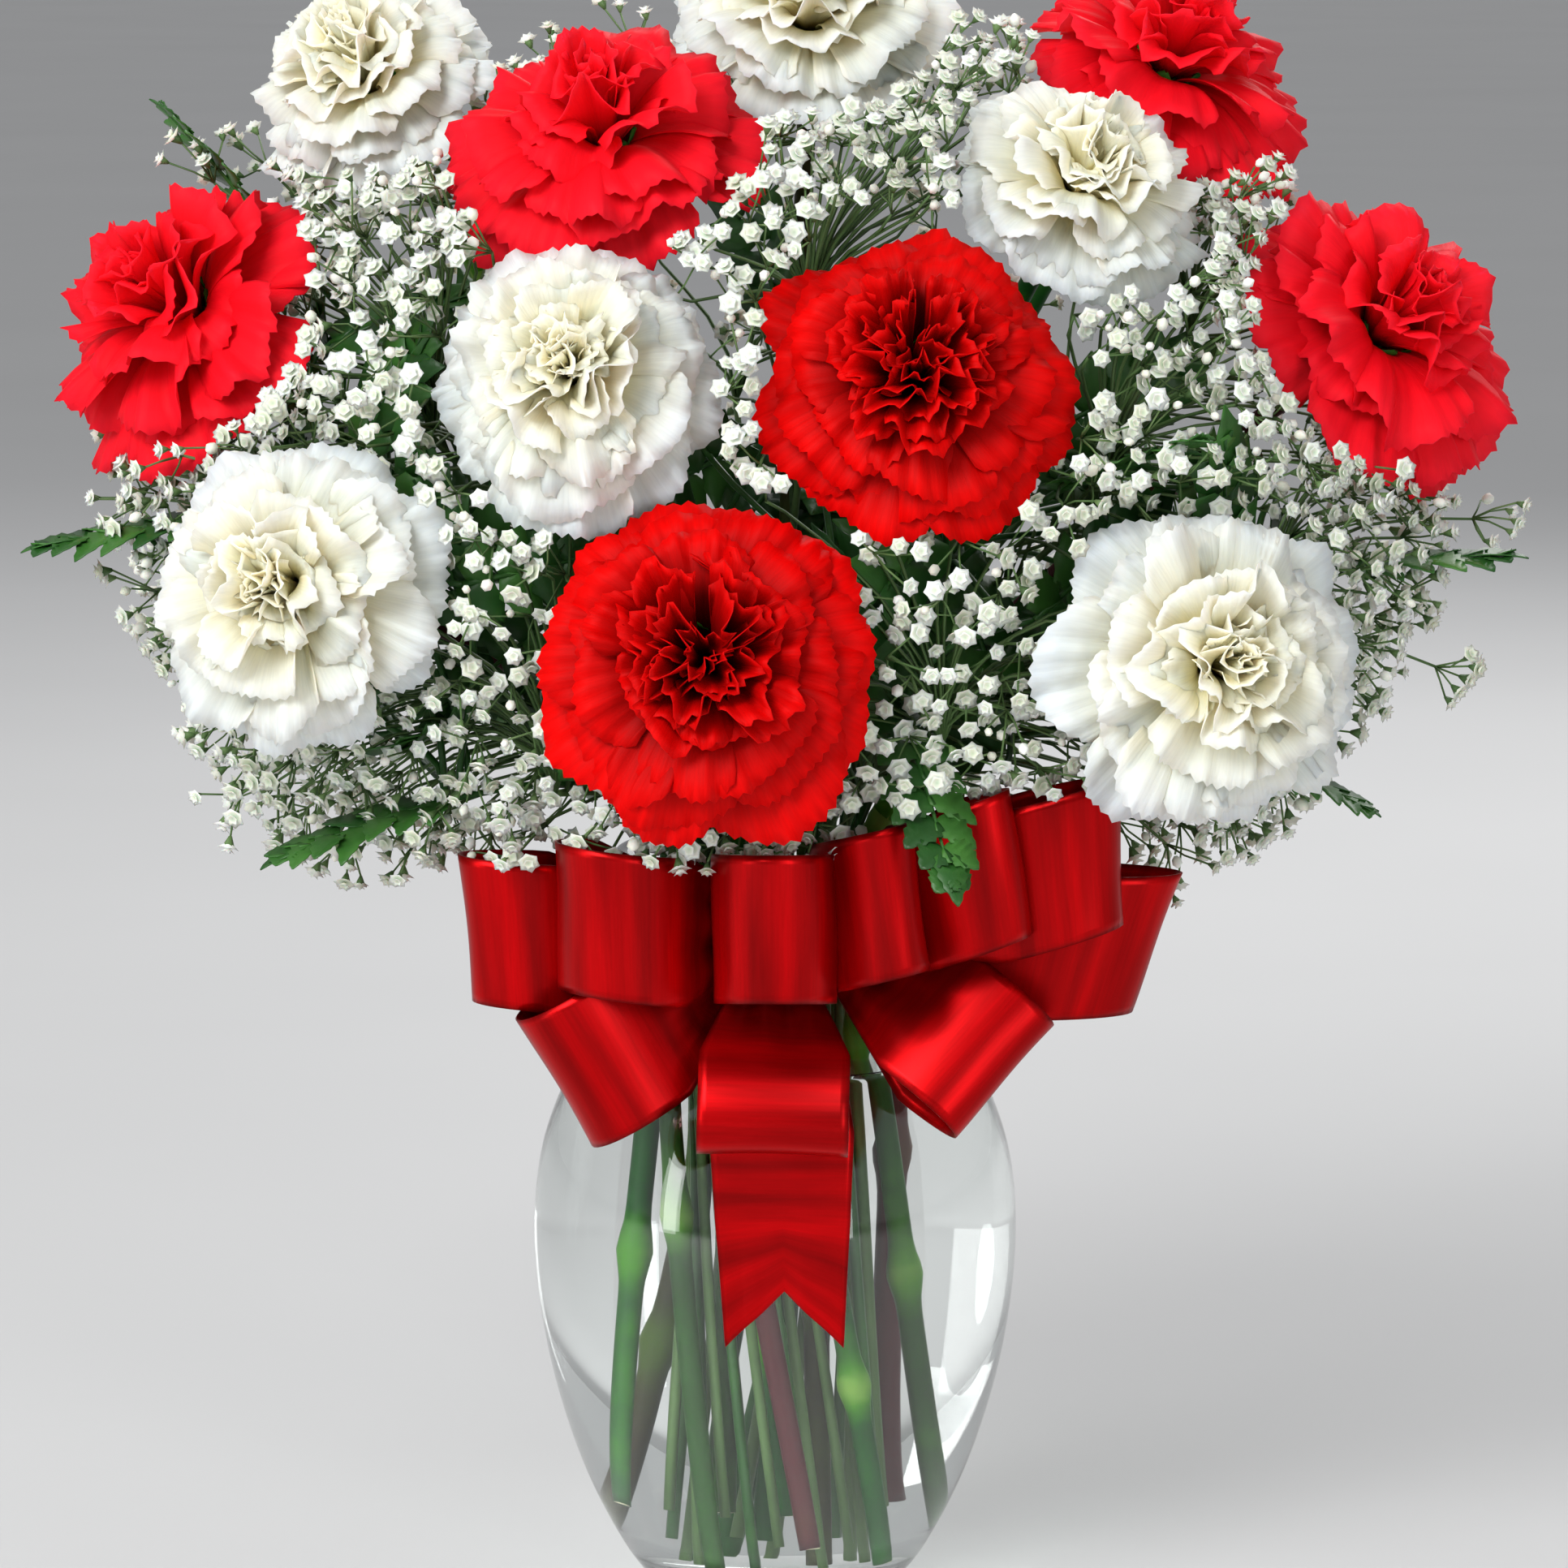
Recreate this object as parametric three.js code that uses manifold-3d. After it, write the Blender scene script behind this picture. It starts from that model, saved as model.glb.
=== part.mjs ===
// A dozen carnations, six red and six white, with baby's breath and fern, in a clear glass vase.
// The vase is part filled with water and has a red ribbon bow tied round its neck.
// Millimetres, +Z up, the origin at the centre of the vase's underside. The front faces -Y.
import * as THREE from "three";
import { mergeVertices } from "three/addons/utils/BufferGeometryUtils.js";
import Module from "manifold-3d";

const wasm = await Module();
wasm.setup();

// Driving dimensions
const VASE_HEIGHT = 178;
const FOOT_RADIUS = 26;
const FLOOR_RADIUS = 22; // of the flat floor inside
const RIM_CREST = 0.7; // of the rounded rim
const GLASS = 3.2; // wall thickness
const GLASS_BASE = 9; // thickness of the glass under the water
const WATER_LEVEL = 131;
const NECK_HEIGHT = 163; // where the vase is narrowest
const STEM_RADIUS = 2.3;
const JOINT_RADIUS = 3.4; // of a stem's swollen joints
const TWIG_RADIUS = 1.1;
const CALYX_LENGTH = 25;
const CALYX_RADIUS = 6.4;
const PETAL = 0.95; // petal thickness
const LEAF = 0.9; // leaf thickness
const RIBBON_WIDTH = 34;
const RIBBON = 0.8; // ribbon thickness
const BAND = 1.6; // the band is two turns of ribbon
const GAP = 0.35; // between pieces that touch
const ROUND_STEPS = 20; // facets round the vase
const CURVE_STEPS = 300; // of the vase's outline, to find its radius at a height

// Radius and height of points on the outside of the vase, from the foot to the rim.
const VASE_OUTLINE = [
  [28, 1.6], [36.8, 13.5], [46.2, 33], [53.6, 58], [56.9, 84], [55.6, 105], [50.4, 121.6],
  [42.2, 137], [35, 151], [33, NECK_HEIGHT], [34.2, 170], [37.6, VASE_HEIGHT],
];
const BAND_LEVELS = [157, 169]; // of the band of ribbon round the neck
const OUTER_LEVELS = [1.6, 14, 34, 60, 86, 106, 122, 140, ...BAND_LEVELS, VASE_HEIGHT];
const INNER_LEVELS = [VASE_HEIGHT, 168, 157, 145, WATER_LEVEL, 104, 62, 17];

// Where each bloom stands: the middle of its face, the way it faces, its radius, and the angle from
// the front at which its stem passes the neck. Its name starts with its colour.
const OUTER_BLOOMS = [
  { name: "red_front", at: [-15, -106, 238], faces: [-0.05, -0.96, 0.26], radius: 38.5, neck: -2 },
  { name: "white_front_right", at: [96, -88, 235], faces: [0.3, -0.94, 0.14], radius: 37, neck: 46 },
  { name: "red_right", at: [139, -20, 303], faces: [0.62, -0.55, 0.56], radius: 36, neck: 92 },
  { name: "red_top_right", at: [91, 10, 362], faces: [0.38, -0.5, 0.78], radius: 35, neck: 137 },
  { name: "white_top", at: [8, 6, 373], faces: [0.02, -0.6, 0.8], radius: 33, neck: 182 },
  { name: "white_top_left", at: [-94, 6, 358], faces: [-0.36, -0.58, 0.73], radius: 30, neck: 226 },
  { name: "red_left", at: [-135, -20, 307], faces: [-0.6, -0.55, 0.58], radius: 36, neck: 271 },
  { name: "white_front_left", at: [-106, -84, 251], faces: [-0.3, -0.94, 0.17], radius: 34.5, neck: 315 },
];
// The blooms whose stems stand nearest the axis.
const INNER_BLOOMS = [
  { name: "white_middle_left", at: [-44, -84, 298], faces: [-0.14, -0.92, 0.36], radius: 33.5, neck: -48 },
  { name: "red_middle_right", at: [31, -84, 298], faces: [0.08, -0.91, 0.4], radius: 36, neck: 42 },
  { name: "white_upper_right", at: [68, -48.5, 337], faces: [0.3, -0.66, 0.69], radius: 30, neck: 132 },
  { name: "red_upper_left", at: [-39, -42, 348], faces: [-0.12, -0.56, 0.82], radius: 36, neck: 222 },
];

// Rings on which the stems pass the neck: their radius there, and how far out the feet stand, as a
// share of the vase's inner radius.
const OUTER_RING = { radius: 23.5, footShare: 0.78 };
const THIN_RING = { radius: 17.2, footShare: 0.48 };
const INNER_RING = { radius: 10.5, footShare: 0.23 };
const FOOT_TURN = 60; // how far round the axis a stem's foot is from its place at the neck
const FOOT_CLEARANCE = 4; // from the floor of the vase to the lowest foot
const FOOT_STEPS = [0, 7, 14]; // cut ends of stems stand at different heights
const BORE_START = -0.004; // a stem's hole in the water starts a little below its foot
const BORE_RADIUS = JOINT_RADIUS + 0.45;
const THIN_BORE_RADIUS = TWIG_RADIUS + 0.9;
const STEM_SIDES = 5;
const TWIG_SIDES = 3;
const THIN_BORE_SIDES = 4;
const UPRIGHT = 0.8; // how much a stem turns to the upright as it leaves the neck
const RISE_SHARE = 0.4; // of the way to its end that a stem keeps its direction at the neck
const ARRIVAL_SHARE = 0.34; // of that way that it has its direction at the end
const CURVE_POINTS = 4; // along the curved part of a stem
const FIRST_JOINT = 0.3; // the lowest place of a swollen joint, as a share of the way to the neck
const JOINT_STEP = 0.12; // between the joints of one stem and the next
const JOINT_STEPS = 4; // different joint heights
const JOINT_TAPER = 0.035; // above and below a joint
const CALYX_SHAPE = [[0.12, 0.65], [0.45, 0.92], [1, 1]]; // shares of its length and its radius
const FACE_HEIGHT = 0.1; // of a bloom's face above its calyx, as a share of its radius
const TURN_TRIES = 20; // of a bloom that is turned to clear its neighbours
const TURN_STEP = 7; // degrees from one such try to the next
const BLOOM_TURN = 40; // degrees from the petals of one bloom to the next one's
const LAYER_TURN = 27; // degrees from the petals of one layer to the next one's

// Petal layers of a bloom of radius 1, from the outermost in. The petals of a layer start together
// at the root, pass near the bend and end at the rim, all given as distance from the axis and
// height. Each rim has a few teeth, and the ruffle lifts and lowers them in turn.
const LAYERS = [
  { petals: 5, teeth: 4, root: [0.25, 0.08], bend: [0.66, 0.2], rim: [1, -0.04], ruffle: 0.07 },
  { petals: 5, teeth: 4, root: [0.25, 0.24], bend: [0.6, 0.42], rim: [0.88, 0.3], ruffle: 0.075 },
  { petals: 4, teeth: 4, root: [0.18, 0.34], bend: [0.42, 0.62], rim: [0.64, 0.62], ruffle: 0.07 },
  { petals: 3, teeth: 3, root: [0.08, 0.4], bend: [0.16, 0.7], rim: [0.33, 0.84], ruffle: 0.06 },
];
const CLAW_RADIUS = 5.8; // of the narrow petal bases that stand together in the calyx
const PETAL_MIDDLE = 0.45; // the middle ring of a layer, as a share of the petal's length
const SLIT_START = 0.58; // from here to the rim, each petal is apart from the next
const SLIT_WIDTH = 0.1; // at the rim, as a share of the petal's width
const RIM_FALL = 0.12; // how much shorter a petal is at its sides than in its middle
const TOOTH_DEPTH = 0.03;
const CUP_LIFT = 0.03; // of a petal's middle above its sides

// Sprays of baby's breath: the middle of each spray on the dome, and how far its florets spread.
const SPRAYS = [
  { name: "gypsophila_front_left", at: [-62, -84, 205], spread: 36 },
  { name: "gypsophila_front_right", at: [47, -96, 222], spread: 36 },
  { name: "gypsophila_left", at: [-98, -46, 302], spread: 40 },
  { name: "gypsophila_middle", at: [10, -62, 335], spread: 36 },
  { name: "gypsophila_right", at: [95, -58, 286], spread: 40 },
  { name: "gypsophila_far_right", at: [142, -58, 244], spread: 32 },
  { name: "gypsophila_top_left", at: [-46, 34, 358], spread: 32 },
  { name: "gypsophila_top_right", at: [122, 0, 328], spread: 32 },
  { name: "gypsophila_far_left", at: [-140, -24, 252], spread: 34 },
  { name: "gypsophila_back_left", at: [-82, 64, 286], spread: 46 },
  { name: "gypsophila_back", at: [-12, 84, 300], spread: 46 },
  { name: "gypsophila_back_right", at: [88, 64, 280], spread: 46 },
];
const BRANCHES = 3; // of a spray
const BRANCH_RADIUS = 0.8;
const BRANCH_FLORETS = 4; // on each branch, one after another
const BRANCH_REACH = 0.8; // of the last floret from the spray's middle, as a share of the spread
const BRANCH_FALL = 0.3; // how far that floret lies back, as a share of the spread
const SPRAY_START = 0.58; // where the branches start, as a share of the way from the neck
const SPRAY_ROOT = [0, 0, NECK_HEIGHT + 30]; // where a spray points away from
const FLORET_RADIUS = 5.3;
const FLORET_SIDES = 5;
const FLORET_NECK = 0.7; // radius of a floret where it leaves its twig
const FLORET_SPACING = 10; // between the middles of two florets of one spray
const FLORET_LINK = 8.5; // shortest twig from one floret to the next
const FLORET_TURN = 0.95; // radians, the sharpest turn of a twig at a floret
const FLORET_TRIES = 240;
const FLORET_DRIFT = [5, 55]; // the span a floret may drift within, at the first and the last try
const CLEARANCE = 0.5; // kept between what grows side by side
const BEND_TRIES = 80;
const BEND_STEP = 0.9; // how much further a stem may bend at each try
const BEND_LIMIT = 18;

// Fern fronds: where each leaf starts and where its tip ends, with the width of the leaf.
const FRONDS = [
  { name: "fern_left", from: [-118, -40, 262], to: [-167, -38, 258], width: 26 },
  { name: "fern_upper_left", from: [-117, 10, 322], to: [-140, 8, 352], width: 18 },
  { name: "fern_lower_left", from: [-72, -56, 200], to: [-112, -66, 190], width: 24 },
  { name: "fern_middle", from: [28, -66, 222], to: [40, -104, 190], width: 20 },
  { name: "fern_right", from: [116, -32, 248], to: [166, -36, 256], width: 26 },
  { name: "fern_between", from: [62, -52, 268], to: [92, -82, 286], width: 24 },
  { name: "fern_lower_right", from: [104, -30, 208], to: [136, -40, 196], width: 24 },
  { name: "fern_back_left", from: [-62, 66, 230], to: [-104, 92, 222], width: 30 },
  { name: "fern_back", from: [0, 76, 224], to: [4, 118, 206], width: 30 },
  { name: "fern_back_right", from: [62, 66, 230], to: [106, 92, 220], width: 30 },
];
const LEAFLET_PAIRS = 5;
const RIB = 0.9; // half width of the leaf between two leaflets
const LEAF_DROOP = 0.0016; // fall of the leaf along its length, by the square of the way
const LEAF_CURL = 0.012; // fall of its sides, by the square of the distance from the rib
const LEAF_LEAN = 0.45; // of a leaf's upper side away from the vase's axis
const LEAF_OVERLAP = 2; // how far the stem runs on under the leaf

// Ribbon loops: where each loop leaves the knot, as a place sideways and up from the knot's middle,
// the way that it points, its length, how far it bulges to each side, the way its width lies, and
// how far that width leans forward at the loop's round end.
const KNOT_SIZE = [18, 6, 9];
const KNOT_HEIGHT = 165;
const LOOPS = [
  { from: [0, 3], points: [0, -1, 0.16], length: 50, bulge: 13, across: [0, 0, 1], lean: 0.25 },
  { from: [-7, 3], points: [-0.68, -0.72, 0.15], length: 55, bulge: 14, across: [0.05, 0, 1], lean: 0.25 },
  { from: [-12, 0], points: [-0.93, -0.34, 0.1], length: 61, bulge: 10, across: [0.02, 0, 1], lean: 0.2 },
  { from: [5, 4], points: [0.45, -0.85, 0.24], length: 52, bulge: 9, across: [-0.16, 0, 1], lean: 0.25 },
  { from: [9, 4], points: [0.76, -0.57, 0.32], length: 59, bulge: 9.5, across: [-0.24, 0, 1], lean: 0.25 },
  { from: [13, 4], points: [0.9, -0.32, 0.28], length: 71, bulge: 11, across: [-0.2, 0, 1], lean: 0.25 },
  { from: [1, -4], points: [-0.03, -0.66, -0.74], length: 51, bulge: 9, across: [1, 0, 0], lean: 0 },
  { from: [-9, -4], points: [-0.72, -0.53, -0.44], length: 54, bulge: 12, across: [0.42, 0, -0.9], lean: 0 },
  { from: [13, -2], points: [0.66, -0.5, -0.42], length: 54, bulge: 9, across: [1, 0, 0.42], lean: 0 },
  { from: [14, 0], points: [0.97, -0.05, 0], length: 73, bulge: 10, across: [0, 0, 1], lean: 0.36 },
];
// The turn of each ribbon loop, from where it leaves the knot to where it comes back.
const LOOP_TURN = [0, 0.17, 0.31, 0.44, 0.56, 0.69, 0.83, 1];
const LOOP_SWELL = 1.3; // widens the round end of a loop
const PINCH = 0.28; // width of the ribbon where a loop leaves the knot, as a share of its own width
// The tail hangs in front of the glass, and its end is cut to a notch.
const TAIL = [
  { at: [0, -44, 160], half: 5 },
  { at: [1, -57, 142], half: 14 },
  { at: [1.5, -61, 124], half: 16.5 },
  { at: [1.8, -62, 104], half: 15.4 },
  { at: [2.2, -61.5, 74], half: 13.5 },
];
const NOTCH = 13;

const UP = new THREE.Vector3(0, 0, 1);
const vec = (p) => new THREE.Vector3(...p);
const degrees = THREE.MathUtils.degToRad;

// A seeded generator of numbers from 0 to 1.
function seeded(seed) {
  let state = seed;
  return () => {
    state = (state + 0x6d2b79f5) | 0;
    let t = Math.imul(state ^ (state >>> 15), 1 | state);
    t = (t + Math.imul(t ^ (t >>> 7), 61 | t)) ^ t;
    return ((t ^ (t >>> 14)) >>> 0) / 4294967296;
  };
}

// A closed three.js geometry as a solid that can be joined and cut.
function solid(geometry) {
  const bare = geometry.index ? geometry.toNonIndexed() : geometry;
  const points = new THREE.BufferGeometry().setAttribute("position", bare.getAttribute("position"));
  const merged = mergeVertices(points, 1e-4);
  const corners = merged.index.array;
  const kept = [];
  for (let i = 0; i < corners.length; i += 3) {
    const [a, b, c] = corners.slice(i, i + 3);
    if (a !== b && b !== c && c !== a) kept.push(a, b, c);
  }
  const build = (triVerts) =>
    new wasm.Manifold(
      new wasm.Mesh({
        numProp: 3,
        vertProperties: merged.getAttribute("position").array,
        triVerts: new Uint32Array(triVerts),
      }),
    );
  const made = build(kept);
  return made.volume() < 0 ? build(kept.reverse()) : made;
}

function joined(solids) {
  return solids.reduce((all, next) => all.add(next));
}

// The largest body of a solid, without the loose scraps that a cut can leave.
function largestBody(whole) {
  return whole.decompose().sort((a, b) => b.volume() - a.volume())[0];
}

function geometryOf(shape) {
  const mesh = shape.getMesh();
  const positions = new Float32Array(mesh.numVert * 3);
  for (let i = 0; i < mesh.numVert; i++) {
    positions.set(mesh.vertProperties.subarray(i * mesh.numProp, i * mesh.numProp + 3), i * 3);
  }
  const geometry = new THREE.BufferGeometry()
    .setAttribute("position", new THREE.BufferAttribute(positions, 3))
    .setIndex(new THREE.BufferAttribute(mesh.triVerts, 1));
  geometry.computeVertexNormals();
  return geometry;
}

function geometryFrom(points, faces) {
  return new THREE.BufferGeometry().setFromPoints(points).setIndex(faces.flat());
}

// A tube along points, with a radius for each of them and flat ends.
function stalk(points, radii, sides) {
  const rings = [];
  const along = (i) =>
    points[Math.min(i + 1, points.length - 1)].clone().sub(points[Math.max(i - 1, 0)]).normalize();
  let side = new THREE.Vector3(1, 0, 0).cross(along(0)).normalize();
  points.forEach((point, i) => {
    const forward = along(i);
    side = side.sub(forward.clone().multiplyScalar(side.dot(forward))).normalize();
    const other = forward.clone().cross(side);
    for (let k = 0; k < sides; k++) {
      const turn = (2 * Math.PI * k) / sides;
      rings.push(
        point
          .clone()
          .addScaledVector(side, radii[i] * Math.cos(turn))
          .addScaledVector(other, radii[i] * Math.sin(turn)),
      );
    }
  });
  const faces = [];
  for (let i = 0; i < points.length - 1; i++) {
    for (let k = 0; k < sides; k++) {
      const [a, b] = [i * sides + k, i * sides + ((k + 1) % sides)];
      faces.push([a, b, b + sides], [a, b + sides, a + sides]);
    }
  }
  const last = (points.length - 1) * sides;
  for (let k = 1; k < sides - 1; k++) {
    faces.push([0, k + 1, k], [last, last + k, last + k + 1]);
  }
  return solid(geometryFrom(rings, faces));
}

// A thin closed blade through rows of points, each with its own normal, all rows but the last of
// two points. Both faces are split into the same triangles.
function blade(rows, thickness) {
  const points = rows.flat();
  const faces = [];
  for (let r = 0; r < rows.length - 1; r++) {
    const [a, b] = [2 * r, 2 * r + 2];
    const ahead = rows[r + 1].length;
    for (let k = 1; k < ahead; k++) faces.push([a, b + k, b + k - 1]);
    faces.push([a, a + 1, b + ahead - 1]);
  }
  const last = points.length - rows.at(-1).length;
  const left = rows.map((_, r) => 2 * r);
  const end = rows.at(-1).map((_, k) => last + k);
  const right = rows.slice(0, -1).map((_, r) => 2 * r + 1).reverse();
  const edge = [...left, ...end.slice(1), ...right];
  const count = points.length;
  const walls = edge.flatMap((a, i) => {
    const b = edge[(i + 1) % edge.length];
    return [
      [b, b + count, a + count],
      [b, a + count, a],
    ];
  });
  const under = faces.map(([a, b, c]) => [a + count, c + count, b + count]);
  const side = (sign) =>
    points.map(({ point, normal }) => point.clone().addScaledVector(normal, (sign * thickness) / 2));
  return solid(geometryFrom([...side(1), ...side(-1)], [...faces, ...under, ...walls]));
}

// A flat outline with a thickness, arched along its length and across it, then laid on a frame.
function arched(outline, thickness, frame) {
  const geometry = new THREE.ExtrudeGeometry(new THREE.Shape(outline), {
    depth: thickness,
    bevelEnabled: false,
    curveSegments: 1,
  });
  const position = geometry.getAttribute("position");
  for (let i = 0; i < position.count; i++) {
    const [x, y] = [position.getX(i), position.getY(i)];
    position.setZ(i, position.getZ(i) - LEAF_DROOP * x * x - LEAF_CURL * y * y);
  }
  return solid(geometry.applyMatrix4(frame));
}

const flat = ([x, y]) => new THREE.Vector2(x, y);

// A lathe about Z through points given as radius and height.
function turned(outline) {
  return solid(new THREE.LatheGeometry(outline.map(flat), ROUND_STEPS).rotateX(Math.PI / 2));
}

const vaseCurve = new THREE.SplineCurve(VASE_OUTLINE.map(flat)).getPoints(CURVE_STEPS);

// The vase's outer radius at a height.
function vaseRadius(z) {
  const above = vaseCurve.findIndex((point) => point.y >= z);
  if (above <= 0) return vaseCurve[above < 0 ? vaseCurve.length - 1 : 0].x;
  const [low, high] = [vaseCurve[above - 1], vaseCurve[above]];
  return low.x + ((high.x - low.x) * (z - low.y)) / (high.y - low.y);
}

function vase() {
  const outside = OUTER_LEVELS.map((z) => [vaseRadius(z), z]);
  const rim = [vaseRadius(VASE_HEIGHT) - GLASS / 2, VASE_HEIGHT + RIM_CREST];
  const inside = INNER_LEVELS.map((z) => [vaseRadius(z) - GLASS, z]);
  const floor = [[FLOOR_RADIUS, GLASS_BASE], [0, GLASS_BASE]];
  return turned([[0, 0], [FOOT_RADIUS, 0], ...outside, rim, ...inside, ...floor]);
}

function waterBody() {
  const levels = INNER_LEVELS.filter((z) => z < WATER_LEVEL).reverse();
  const side = [...levels, WATER_LEVEL].map((z) => [vaseRadius(z) - GLASS - GAP, z]);
  const floor = [[0, GLASS_BASE + GAP], [FLOOR_RADIUS - GAP, GLASS_BASE + GAP]];
  return turned([...floor, ...side, [0, WATER_LEVEL]]);
}

// The band of ribbon round the neck.
function neckBand() {
  const inside = BAND_LEVELS.map((z) => [vaseRadius(z) + GAP, z]);
  const outside = inside.map(([r, z]) => [r + BAND, z]).reverse();
  return turned([...inside, ...outside, inside[0]]);
}

// A point at a height, a distance from the axis, and an angle from the front towards +X.
function polar(angle, radius, z) {
  return new THREE.Vector3(radius * Math.sin(degrees(angle)), -radius * Math.cos(degrees(angle)), z);
}

// How a stem stands in the vase: it leans across the axis and its foot is turned on from its
// place at the neck, so that the stems of one ring pass round each other.
function stemFoot(angle, ring, order) {
  const height = GLASS_BASE + FOOT_CLEARANCE + FOOT_STEPS[order % FOOT_STEPS.length];
  return polar(angle + FOOT_TURN, ring.footShare * (vaseRadius(height) - GLASS), height);
}

// The line of a stem from its foot through the neck to where it ends, in direction end.faces.
function stemLine(foot, neck, end, faces, bend = new THREE.Vector3()) {
  const rise = neck.clone().sub(foot).normalize().lerp(UP, UPRIGHT).normalize();
  const reach = end.distanceTo(neck);
  const curve = new THREE.CubicBezierCurve3(
    neck,
    neck.clone().addScaledVector(rise, reach * RISE_SHARE).addScaledVector(bend, 2),
    end.clone().addScaledVector(faces, -reach * ARRIVAL_SHARE),
    end,
  );
  return curve.getPoints(CURVE_POINTS);
}

// One carnation: its stem with swollen joints and its calyx, and its petals.
function carnation(bloom, ring, index, neighbours) {
  const faces = vec(bloom.faces).normalize();
  const mouth = vec(bloom.at).addScaledVector(faces, -FACE_HEIGHT * bloom.radius);
  const throat = mouth.clone().addScaledVector(faces, -CALYX_LENGTH);
  const neck = polar(bloom.neck, ring.radius, NECK_HEIGHT);
  const foot = stemFoot(bloom.neck, ring, index);
  const upper = stemLine(foot, neck, throat, faces);
  const joint = FIRST_JOINT + JOINT_STEP * (index % JOINT_STEPS);
  const lower = [0, joint - JOINT_TAPER, joint, joint + JOINT_TAPER].map((t) => foot.clone().lerp(neck, t));
  const lowerRadii = [STEM_RADIUS, STEM_RADIUS, JOINT_RADIUS, STEM_RADIUS];
  const calyx = CALYX_SHAPE.map(([t]) => throat.clone().lerp(mouth, t));
  const calyxRadii = CALYX_SHAPE.map(([, share]) => share * CALYX_RADIUS);
  const points = [...lower, ...upper, ...calyx];
  const radii = [...lowerRadii, ...upper.map(() => STEM_RADIUS), ...calyxRadii];
  const bored = [foot.clone().lerp(neck, BORE_START), neck];
  return {
    name: bloom.name,
    stem: stalk(points, radii, STEM_SIDES),
    bore: stalk(bored, [BORE_RADIUS, BORE_RADIUS], STEM_SIDES),
    petals: corolla(bloom, index, mouth.addScaledVector(faces, GAP), faces, neighbours),
  };
}

// The petals of a bloom, layer on layer round its heart, as one closed surface of rings. The bloom
// is turned until its ruffles pass between those of its neighbours.
function corolla(bloom, index, mouth, faces, neighbours) {
  const upright = new THREE.Quaternion().setFromUnitVectors(UP, faces);
  const frame = new THREE.Matrix4().compose(mouth, upright, new THREE.Vector3(1, 1, 1));
  for (let attempt = 0; attempt < TURN_TRIES; attempt++) {
    const random = seeded(100 + index);
    const start = BLOOM_TURN * index + TURN_STEP * attempt;
    const claws = Array.from({ length: LAYERS[0].petals }, (_, i) => {
      const angle = degrees(start + (360 * i) / LAYERS[0].petals);
      return new THREE.Vector3(CLAW_RADIUS * Math.cos(angle), CLAW_RADIUS * Math.sin(angle), 0);
    });
    const rings = [claws];
    LAYERS.forEach((layer, k) => {
      rings.push(...petalRings(layer, bloom.radius, start + LAYER_TURN * k, random));
    });
    const shape = solid(sleeve(rings).applyMatrix4(frame));
    if (!neighbours.some((other) => meet(shape, other.shape))) return shape;
  }
  throw new Error("no room for the petals of " + bloom.name);
}

// The rings of one layer of petals: along its underside to the rim, and back along its upper side.
// The petals are fans side by side, slit apart for half their length, with waved and toothed rims.
function petalRings({ petals, teeth, root, bend, rim, ruffle }, R, start, random) {
  const at = (t, petal, lift) => {
    const mix = (k) => (1 - t) ** 2 * root[k] + 2 * t * (1 - t) * bend[k] + t * t * rim[k];
    const slope = (k) => 2 * (1 - t) * (bend[k] - root[k]) + 2 * t * (rim[k] - bend[k]);
    const size = Math.hypot(slope(0), slope(1));
    const normal = [-slope(1) / size, slope(0) / size];
    const angle = degrees(start + (360 * petal) / petals);
    return (side) => {
      const shift = lift * R + (side * PETAL) / 2;
      const [reach, height] = [0, 1].map((k) => R * mix(k) + shift * normal[k]);
      return new THREE.Vector3(reach * Math.cos(angle), reach * Math.sin(angle), height);
    };
  };
  const [inner, middle, outer] = [[], [], []];
  for (let petal = 0; petal < petals; petal++) {
    inner.push(at(0, petal, 0));
    middle.push(at(PETAL_MIDDLE, petal, -CUP_LIFT), at(PETAL_MIDDLE, petal + 0.5, CUP_LIFT));
    outer.push(at(SLIT_START, petal, -CUP_LIFT));
    const first = random() < 0.5 ? 1 : -1;
    for (let tooth = 0; tooth < teeth; tooth++) {
      const across = SLIT_WIDTH / 2 + ((1 - SLIT_WIDTH) * tooth) / (teeth - 1);
      const sign = tooth % 2 ? first : -first;
      const reach = 1 - RIM_FALL * (2 * across - 1) ** 2 + TOOTH_DEPTH * sign;
      outer.push(at(reach, petal + across, sign * ruffle * (0.7 + 0.6 * random())));
    }
  }
  const below = [inner, middle, outer].map((ring) => ring.map((point) => point(-1)));
  const above = [outer, middle, inner].map((ring) => ring.map((point) => point(1)));
  return [...below, ...above];
}

// A closed surface through rings of points. Each ring is turned to start where the last one does,
// as seen from its own middle, so that a long leaning stem isn't twisted. Two rings are always split
// from the shorter to the longer, so that both faces of a petal match.
function sleeve(rings) {
  const points = [];
  let before = null;
  let towards = null; // from the last ring's middle to its start
  const faces = [];
  const cap = (ring) => ring.slice(2).map((_, i) => [ring[0], ring[i + 1], ring[i + 2]]);
  for (const ring of rings) {
    const middle = ring.reduce((sum, point) => sum.add(point), vec([0, 0, 0])).divideScalar(ring.length);
    const spokes = ring.map((point) => point.clone().sub(middle));
    let indices = ring.map((point) => points.push(point) - 1);
    let first = 0;
    if (before) {
      const gap = (i) => spokes[i].distanceTo(towards);
      first = spokes.reduce((best, _, i) => (gap(i) < gap(best) ? i : best), 0);
      indices = [...indices.slice(first), ...indices.slice(0, first)];
      faces.push(...zipped(before, indices));
    } else {
      faces.push(...cap(indices).map((face) => face.reverse()));
    }
    before = indices;
    towards = spokes[first];
  }
  faces.push(...cap(before));
  return geometryFrom(points, faces);
}

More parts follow.
